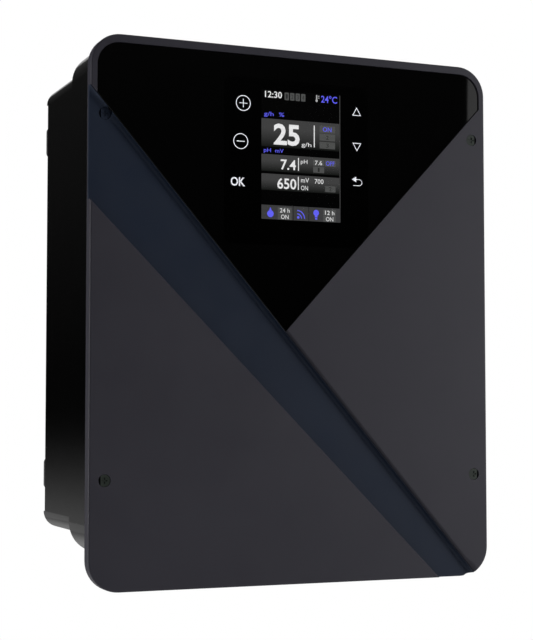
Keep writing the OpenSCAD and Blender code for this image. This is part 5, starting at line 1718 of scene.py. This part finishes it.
# %% [markdown]
# ## The soft edge between band and right panel
#
# Along its upper right edge the band sweeps up to the level of the lens, and the right panel
# rolls down to meet it. On the real mouldings both curves are tighter than the construction's.
# A copy of each piece is turned until the edge stands upright, so that a plain scale along X
# draws the curve toward the edge; then it is turned back. Near a screw and near the cover's own
# rim the curve keeps its width: a bisect on either side of a short stretch gives it points there
# to run out with.

# %% Drawing a curve toward the edge
EDGE_TOP = Vector((-121.2 * MM, 0, 113.6 * MM))
EDGE_FOOT = Vector((114.5 * MM, 0, -157.9 * MM))
edge_run = EDGE_FOOT - EDGE_TOP
edge_turn = math.atan2(edge_run.x, -edge_run.z)


def turned(piece, angle):
    """Turns a piece round the Y axis and applies it."""
    take(piece)
    piece.rotation_mode = "XYZ"
    piece.rotation_euler = (0, angle, 0)
    fix_place()


def tightened(piece, low_x, high_x, deepest, share, cuts, keep):
    """Scales the curve between two distances from the edge to a share of its width."""
    turned(piece, edge_turn)
    top = EDGE_TOP.copy()
    top.rotate(Euler((0, edge_turn, 0)))
    for down in cuts:
        open_mesh(piece, "VERT", whole=True)
        bpy.ops.mesh.bisect(plane_co=(0, 0, top.z - down), plane_no=(0, 0, 1))
        close_mesh()
    open_mesh(piece, "VERT")
    close_mesh()
    moved = 0
    for point in piece.data.vertices:
        across, down = point.co.x - top.x, top.z - point.co.z
        point.select = low_x < across < high_x and point.co.y < deepest and keep(down)
        moved += point.select
    bpy.ops.object.mode_set(mode="EDIT")
    still = high_x if high_x < 0 else low_x
    bpy.ops.transform.resize(value=(share, 1, 1), center_override=(top.x + still, 0, 0))
    close_mesh()
    turned(piece, -edge_turn)
    return moved


# %% The band's sweep
SCREW_PART = 21 * MM
band = merged_copy("navy_band")
count = tightened(band, -4.5 * MM, -0.44 * MM, -101.55 * MM, 0.5,
                  (SCREW_PART, SCREW_PART + 5 * MM), lambda down: down > SCREW_PART + 4.9 * MM)
finish_piece(band, "band_moulding", band_abs, smooth=40)
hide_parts("navy_band")
print("band: sweep drawn in by", count, "points")

# %% The right panel's edge
edge_length = edge_run.length
PANEL_STARTS = 60 * MM
cover = merged_copy("front_cover")
count = tightened(cover, 0.01 * MM, 3.05 * MM, -103.55 * MM, 0.55,
                  (edge_length - 14 * MM, edge_length - 8 * MM),
                  lambda down: PANEL_STARTS < down < edge_length - 13.9 * MM)
finish_piece(cover, "cover_moulding", cover_abs, smooth=40)
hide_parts("front_cover")
print("cover: edge drawn in by", count, "points,", len(cover.data.polygons), "faces")

# %% [markdown]
# ### Marks on the power rocker
#
# A mains rocker has a line for on and a ring for off, filled with white paint. The rocker's face
# is hollow and each half has its own slope, so a mark is made flat at the origin, then tilted to
# the normal of the face that lies there and moved onto it, just clear of the plastic.

# %% Line and ring
MARK_CLEAR = 0.07 * MM
MARK_HEIGHT = 3.6
rocker = merged_copy("switch_rocker")
rocker_low, rocker_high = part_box("switch_rocker")
rocker_faces = [(f.center.copy(), f.normal.copy()) for f in rocker.data.polygons
                if f.normal.z < -0.5 and f.area > 5 * MM ** 2]
bpy.data.objects.remove(rocker)
marks = []
for word, share, width in (("I", 0.24, 0.7), ("O", 0.76, 3.2)):
    target = rocker_low.x + share * (rocker_high.x - rocker_low.x)
    centre, normal = min(rocker_faces, key=lambda face: abs(face[0].x - target))
    mark = written(word, -width / 2 * MM, -MARK_HEIGHT / 2 * MM, width / 2 * MM,
                   MARK_HEIGHT / 2 * MM, 0.0, 0.04 * MM)
    mark.rotation_euler = (math.pi / 2, 0, 0)
    fix_place()
    mark.rotation_euler = (0, math.atan2(-normal.x, -normal.z), 0)
    mark.location = centre + normal * MARK_CLEAR
    fix_place()
    marks.append(mark)
    print("mark", word, "at", [round(v / MM, 1) for v in centre])
finish_piece(join(marks), "rocker_marks", relay_print, body="rocker")

# %% [markdown]
# ## The last look
#
# The dressed box must still be as large as the construction, so both boxes are written down
# side by side before the frame closes the scene.

# %% Measure and finish
dressed_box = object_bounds()


def as_numbers(value):
    """Nested vectors as nested plain lists."""
    return [as_numbers(v) for v in value] if hasattr(value, "__len__") else float(value)


{"frame": as_numbers(frame_box), "dressed": as_numbers(dressed_box)}
start_clean()
print("frame", as_numbers(frame_box), "dressed", as_numbers(dressed_box))
